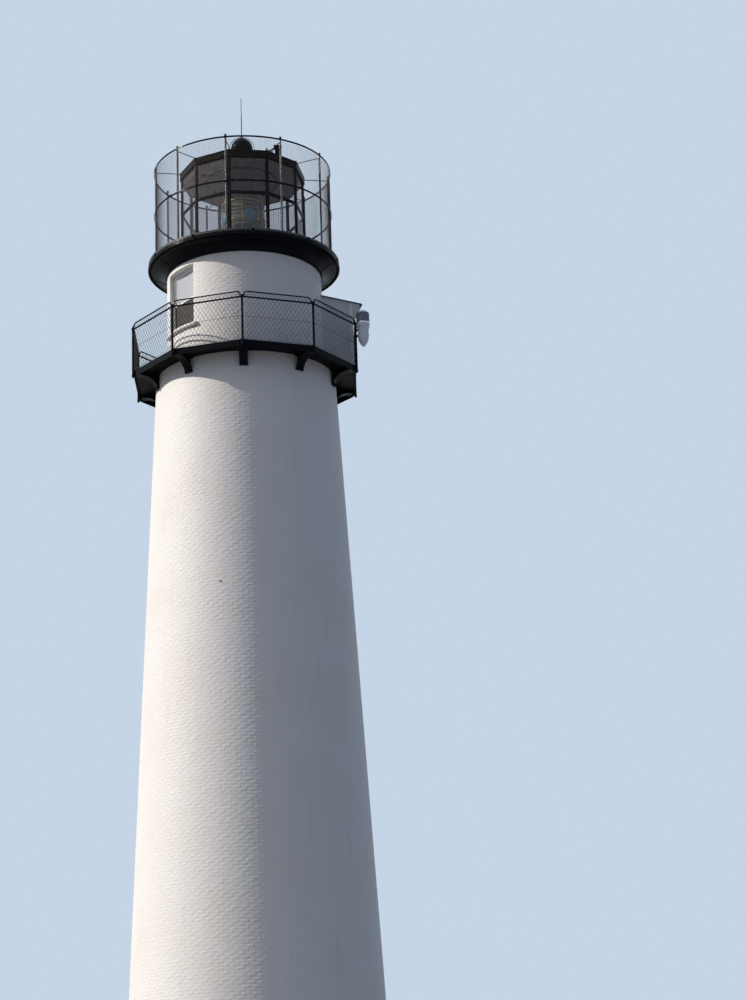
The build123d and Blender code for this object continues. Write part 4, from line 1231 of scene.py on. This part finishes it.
vestibule = {
    "half": 0.5, "front": 2.511, "wallFoot": 20.215, "roofAtDrum": 22.205, "roofFall": 0.17868,
    "board": 0.115, "exposure": 0.10, "thickness": 0.007, "tilt": 5.0,
    "cornerWidth": 0.075, "cornerProud": 0.016, "cornerOut": 0.007, "cornerFoot": 0.015,
    "cheekIn": 0.009, "cheekOut": 0.008, "cheekDrop": 0.005,
    "rakeBar": 0.022, "rakeStart": 1.79, "rakeOut": 0.014, "rakeDrop": 0.012, "eaveLow": 21.93,
    "eaveReach": 2.696, "fascia": (0.97, 0.008, 0.112), "soffit": (0.96, 0, 0.165), "panelProud": 0.008,
    "casingOver": 0.05, "casingHead": 0.035, "casing": (0, 0.014, 0.028), "bedded": 0.01,
    "doorMiddle": 2.148, "doorHalf": 0.273, "doorTop": 21.976, "doorFoot": 20.2,
    "hingeRadius": 0.009, "hingeHalf": 0.045, "hingeTip": (0.003, 0.006), "hingeSeat": 0.012,
    "hingeLevels": (20.45, 21.1, 21.726), "knobIn": 0.06, "knobRise": 0.95,
}


def roofLevel(radius):
    return vestibule["roofAtDrum"] - vestibule["roofFall"] * (radius - tower["drumRadius"])


def makeClapboard(s):  # one metre long along X, hanging from its top edge, facing -Y
    board = addBlock("clapboard", (-0.5, -s["thickness"], -s["board"]), (0.5, 0, 0))
    return flared(board, down, (1, 1.5, 1), center_override=(0, 0, 0))


def boardPlaces(s, start, end, turn, top):  # courses of boards between two corners of a wall
    start, end = Vector((*start, 0)), Vector((*end, 0))
    middle, size = (start + end) / 2, ((end - start).length, 1, 1)
    count = int((top - s["wallFoot"]) / s["exposure"]) + 1
    levels = [s["wallFoot"] + s["board"] + k * s["exposure"] for k in range(count)]
    return [((middle.x, middle.y, level), (math.radians(s["tilt"]), 0, turn), size, dice.random())
            for level in levels if level <= top]


def makeVestibuleBoards(s):
    board = makeClapboard(s)
    half, face, inside = s["half"], s["front"], s["bedded"]
    wall = math.sqrt(tower["drumRadius"] ** 2 - half ** 2)
    places = boardPlaces(s, (-half, inside - wall), (-half, inside - face), -math.pi / 2, roofLevel(face))
    places += boardPlaces(s, (inside - half, -face), (half - inside, -face), 0, s["eaveLow"])
    boards = layPieces("vestibuleBoards", board, places)
    bpy.data.objects.remove(board)
    return boards


def makeVestibuleTrim(s):
    half, face, eave, reach = s["half"], -s["front"], s["eaveLow"], s["eaveReach"]
    foot, posts = s["wallFoot"] - s["cornerFoot"], []
    for side in (-1, 1):
        x = side * (half + s["cornerOut"])
        low, high = sorted((x, x - side * s["cornerWidth"]))
        post = addBlock("cornerBoard", (low, face - s["cornerProud"], foot), (high, face, eave))
        low, high = sorted((x - side * s["cheekIn"], x + side * s["cheekOut"]))
        cheek = addBlock("cornerCheek", (low, face - s["cornerProud"], foot),
                         (high, face + s["cornerWidth"], roofLevel(s["front"]) - s["cheekDrop"]))
        posts += [bevelled(post, 0.003), bevelled(cheek, 0.003)]
    slope = [(-half - s["rakeOut"], -radius, roofLevel(radius) - s["rakeDrop"])
             for radius in (s["rakeStart"], reach)]
    rake = addSweptBar("rakeBoard", s["rakeBar"], slope, math.radians(90))
    proud, (width, low, high) = s["panelProud"], s["fascia"]
    fascia = addFrame("eavePanel", width, eave + low, eave + high, reach, reach + proud, s["rakeBar"])
    soffit = addFrame("soffitBead", *s["soffit"], 0, proud, 0.02)
    placed(soffit, (0, s["bedded"] - reach, eave - proud), (math.pi / 2, 0, 0))
    width, head = 2 * s["doorHalf"] + s["casingOver"], s["doorTop"] + s["casingHead"]
    casing = addFrame("doorCasing", width, s["doorFoot"], head, *s["casing"])
    placed(casing, (half, -s["doorMiddle"], 0), (0, 0, math.pi / 2))
    return joined("vestibuleTrim", [*posts, rake, fascia, soffit, casing])


knobSetup = {
    "rose": (0.03, 0.008), "neck": 0.018, "steps": ((0.022, 1), (0.01, 2.2), (0.016, 1.15), (0.010, 0.6)),
}


def makeKnob(name, place, turn=0.0):  # a round door knob on its rose, facing -Y before its turn
    knob = drawnOut(addDisc(name, *knobSetup["rose"], 12), front, knobSetup["neck"], knobSetup["steps"])
    return placed(knob, place, (0, 0, turn))


def makeVestibuleFurniture(s):
    x, y, half = s["half"] - s["hingeSeat"], -s["doorMiddle"], s["hingeHalf"]
    pin, pieces = y - s["doorHalf"] + s["bedded"], []
    for level in s["hingeLevels"]:
        hinge = addBar("hinge", s["hingeRadius"], (x, pin, level - half), (x, pin, level + half))
        pieces.append(raised(hinge, up, *s["hingeTip"]))
    place = (x, y + s["doorHalf"] - s["knobIn"], s["doorFoot"] + s["knobRise"])
    knob = makeKnob("vestibuleKnob", place, math.pi / 2)
    return joined("vestibuleFurniture", [*pieces, knob])


door = tower["doorAzimuth"]
finishPiece(swung(makeVestibuleBoards(vestibule), door), shadedBoardWhite, "white_boards")
finishPiece(swung(makeVestibuleTrim(vestibule), door), trimWhite, "white_boards")
finishPiece(smoothed(swung(makeVestibuleFurniture(vestibule), door)), ironPaint)
print("vestibule dressed")


# Bands and cap of the housing on the railing

housingSetup = {
    "azimuth": 70.7, "distance": 2.925, "radius": 0.130, "strapLevels": (20.915, 21.065), "strapHeight": 0.03,
    "strap": 0.006, "strapGap": 0.0004, "bolt": (0.009, 0.014), "boltTurn": 75, "collar": (0.150, 0.163),
    "collarLevel": 21.236, "collarHeight": 0.03, "top": 21.515, "capRadius": 0.10, "capHalf": 0.012,
    "capEdge": 0.045, "capCrown": 0.012, "tipHigh": 0.018, "tipShare": 0.6,
}


def makeHousingStraps(s):
    outer, height = s["radius"] + s["strap"], s["strapHeight"]
    straps, bolts = [], []
    for level in s["strapLevels"]:
        straps.append(addRing("housingStrap", s["radius"] + s["strapGap"], outer, level, level + height,
                              place=(0, -s["distance"])))
        for turn in (-s["boltTurn"], s["boltTurn"]):
            place = outward(turn, outer, level + height / 2) + front * s["distance"]
            bolts.append(placed(makeBolt("strapBolt", *s["bolt"]), place, (0, 0, math.radians(turn))))
    return joined("housingStraps", [*straps, *bolts])


def makeHousingCap(s):
    place, level, top = (0, -s["distance"]), s["collarLevel"], s["top"]
    collar = addRing("housingCollar", *s["collar"], level - s["collarHeight"], level, place=place)
    cap = addRod("housingCap", s["capRadius"], (*place, top - s["capHalf"]), top + s["capHalf"], 32)
    selectSide(cap, up)
    bpy.ops.mesh.inset(thickness=s["capEdge"])
    bpy.ops.transform.translate(value=up * s["capCrown"])
    extrude(up * s["tipHigh"])
    bpy.ops.transform.resize(value=(s["tipShare"], s["tipShare"], 1))
    return joined("housingCap", [bevelled(collar, 0.004, 2), leaveEdit(cap)])


housingStraps = swung(makeHousingStraps(housingSetup), housingSetup["azimuth"])
housingCap = swung(makeHousingCap(housingSetup), housingSetup["azimuth"])
finishPiece(housingStraps, housingPaintSkyLit, "pale_housing")
finishPiece(smoothed(housingCap, 30), galvanised, "pale_housing")
print("housing dressed")


# Entrance: panel mouldings, hinges, knob and a stone step

entrance = {
    "leafFace": 2.7115, "panelHalf": 0.1775, "panelWidth": 0.245, "panels": ((0.26, 0.98), (1.09, 2.075)),
    "moulding": 0.022, "mouldingSunk": 0.012, "mouldingProud": 0.006, "hingeX": -0.405,
    "hingeLevels": (0.45, 1.25, 2.0), "barrelRadius": 0.011,
    "barrelHalf": 0.06, "strapLength": 0.36, "strapHalf": 0.02, "strapTip": 0.35, "knob": (0.345, 1.12),
    "barrelTip": (0.004, 0.008), "barrelOut": 0.004, "strapProud": 0.006, "lockProud": 0.004,
    "lockHalf": 0.028, "lockDrop": (0.05, 0.19), "step": (0.62, 2.80, 3.13, 0.148), "stepWear": 0.008,
}


def makeEntranceMouldings(s):
    back, near = s["leafFace"] - s["mouldingSunk"], s["leafFace"] + s["mouldingProud"]
    frames = [addFrame("panelMoulding", s["panelWidth"], low, high, back, near, s["moulding"], middle)
              for middle in (-s["panelHalf"], s["panelHalf"]) for low, high in s["panels"]]
    return joined("panelMouldings", [bevelled(frame, 0.004) for frame in frames])


def makeEntranceFurniture(s):
    x, face, half, pieces = s["hingeX"], -s["leafFace"], s["barrelHalf"], []
    for level in s["hingeLevels"]:
        foot = (x, face - s["barrelOut"], level - half)
        barrel = addRod("hingeBarrel", s["barrelRadius"], foot, level + half, 8)
        strap = addBlock("hingeStrap", (x, face - s["strapProud"], level - s["strapHalf"]),
                         (x + s["strapLength"], face, level + s["strapHalf"]))
        pieces += [raised(barrel, up, *s["barrelTip"]),
                   flared(strap, Vector((1, 0, 0)), (1, 1, s["strapTip"]))]
    (x, level), (high, low), half = s["knob"], s["lockDrop"], s["lockHalf"]
    knob = makeKnob("entranceKnob", (x, face, level))
    plate = addBlock("lockPlate", (x - half, face - s["lockProud"], level - low),
                     (x + half, face, level - high))
    return joined("entranceFurniture", [*pieces, knob, bevelled(plate, 0.0018)])


def makeEntranceStep(s):
    half, near, far, top = s["step"]
    step = addBlock("entranceStep", (-half, -far, 0), (half, -near, top))
    selectSide(step, up)
    bpy.ops.mesh.subdivide(number_cuts=5)
    leaveEdit(step)
    for point in step.data.vertices:  # worn down in the middle of the tread
        if point.co.z > top - 0.001 and point.co.y < -near - 0.02:
            point.co.z -= s["stepWear"] * max(0, 1 - (point.co.x / half) ** 2)
    return bevelled(step, 0.008, 2)


finishPiece(makeEntranceMouldings(entrance), doorPaint, "dark_paint")
finishPiece(smoothed(makeEntranceFurniture(entrance)), ironPaint)
finishPiece(makeEntranceStep(entrance), concrete, "concrete_floor")


# An old iron anchor left in the brickwork

anchorSetup = {"azimuth": -16.0, "level": 14.68, "size": (0.018, 0.016)}


def makeWallAnchor(s):
    anchor = makeBolt("wallAnchor", *s["size"])
    placed(anchor, (0, -shaftRadius(s["level"]), s["level"]), (-tower["lean"], 0, 0))
    return swung(anchor, s["azimuth"])


finishPiece(makeWallAnchor(anchorSetup), dullZinc)
print("entrance dressed")


# Light and camera

sunSetup = {
    "azimuth": -88.6, "elevation": 29.0, "strength": 3.36, "softness": 1.0, "colour": (1.0, 0.93, 0.845),
}
softSetup = {
    "azimuth": -60.0, "elevation": 32.0, "strength": 0.30, "softness": 50.0, "colour": (1.0, 0.84, 0.66),
}
worldSetup = {"fill": (0.145, 0.194, 0.298), "backdrop": (0.56, 0.66, 0.79)}
floorSetup = {"size": 400.0, "bounce": (0.20, 0.20, 0.19), "seen": (0.70, 0.71, 0.71)}
cameraSetup = {"place": (0.0, -50.119, 1.6), "yaw": 0.0579, "pitch": 0.301, "roll": -0.0358, "lens": 81.04}


def addSun(name, s):
    lift = math.radians(s["elevation"])
    towards = outward(s["azimuth"], math.cos(lift), math.sin(lift))
    lamp = bpy.data.lights.new(name, "SUN")
    lamp.energy = s["strength"]
    lamp.angle = math.radians(s["softness"])
    lamp.color = s["colour"]
    sun = bpy.data.objects.new(name, lamp)
    sun.rotation_euler = towards.to_track_quat("Z", "Y").to_euler()
    bpy.context.scene.collection.objects.link(sun)


def seenDirectly(owner):  # 1 for what the camera sees, also in gloss and through glass
    rays = addNode(owner, "ShaderNodeLightPath").outputs
    most = computed(owner, "MAXIMUM", rays["Is Camera Ray"], rays["Is Glossy Ray"])
    return computed(owner, "MAXIMUM", most, rays["Is Transmission Ray"])


def makeWorld(s):
    world = bpy.data.worlds.new("studio")
    world.use_nodes = True
    world.node_tree.nodes.clear()
    fill, backdrop = (addNode(world, "ShaderNodeBackground", {"Color": (*s[part], 1)}).outputs[0]
                      for part in ("fill", "backdrop"))
    mix = addNode(world, "ShaderNodeMixShader", {0: seenDirectly(world), 1: fill, 2: backdrop})
    addNode(world, "ShaderNodeOutputWorld", {"Surface": mix.outputs[0]})
    bpy.context.scene.world = world


def addFloor(s):
    clearSelection()
    bpy.ops.mesh.primitive_plane_add(size=s["size"])
    floor = bpy.context.object
    floor.name = "studioFloor"
    material = newMaterial("paleFloor", s["bounce"], 0.9)
    tint(material, seenDirectly(material), s["seen"])
    floor.data.materials.append(material)


def addCamera(s):
    lens = bpy.data.cameras.new("camera")
    lens.lens = s["lens"]
    lens.sensor_width = 36
    lens.clip_end = 1000
    camera = bpy.data.objects.new("camera", lens)
    aim = Matrix.Rotation(-s["yaw"], 3, "Z") @ Matrix.Rotation(math.pi / 2 + s["pitch"], 3, "X")
    camera.rotation_euler = (aim @ Matrix.Rotation(s["roll"], 3, "Z")).to_euler()
    camera.location = s["place"]
    bpy.context.scene.collection.objects.link(camera)
    bpy.context.scene.camera = camera


addSun("sun", sunSetup)
addSun("softLight", softSetup)
makeWorld(worldSetup)
addFloor(floorSetup)
addCamera(cameraSetup)
bpy.context.scene.view_settings.view_transform = "Standard"
print("light and camera set")
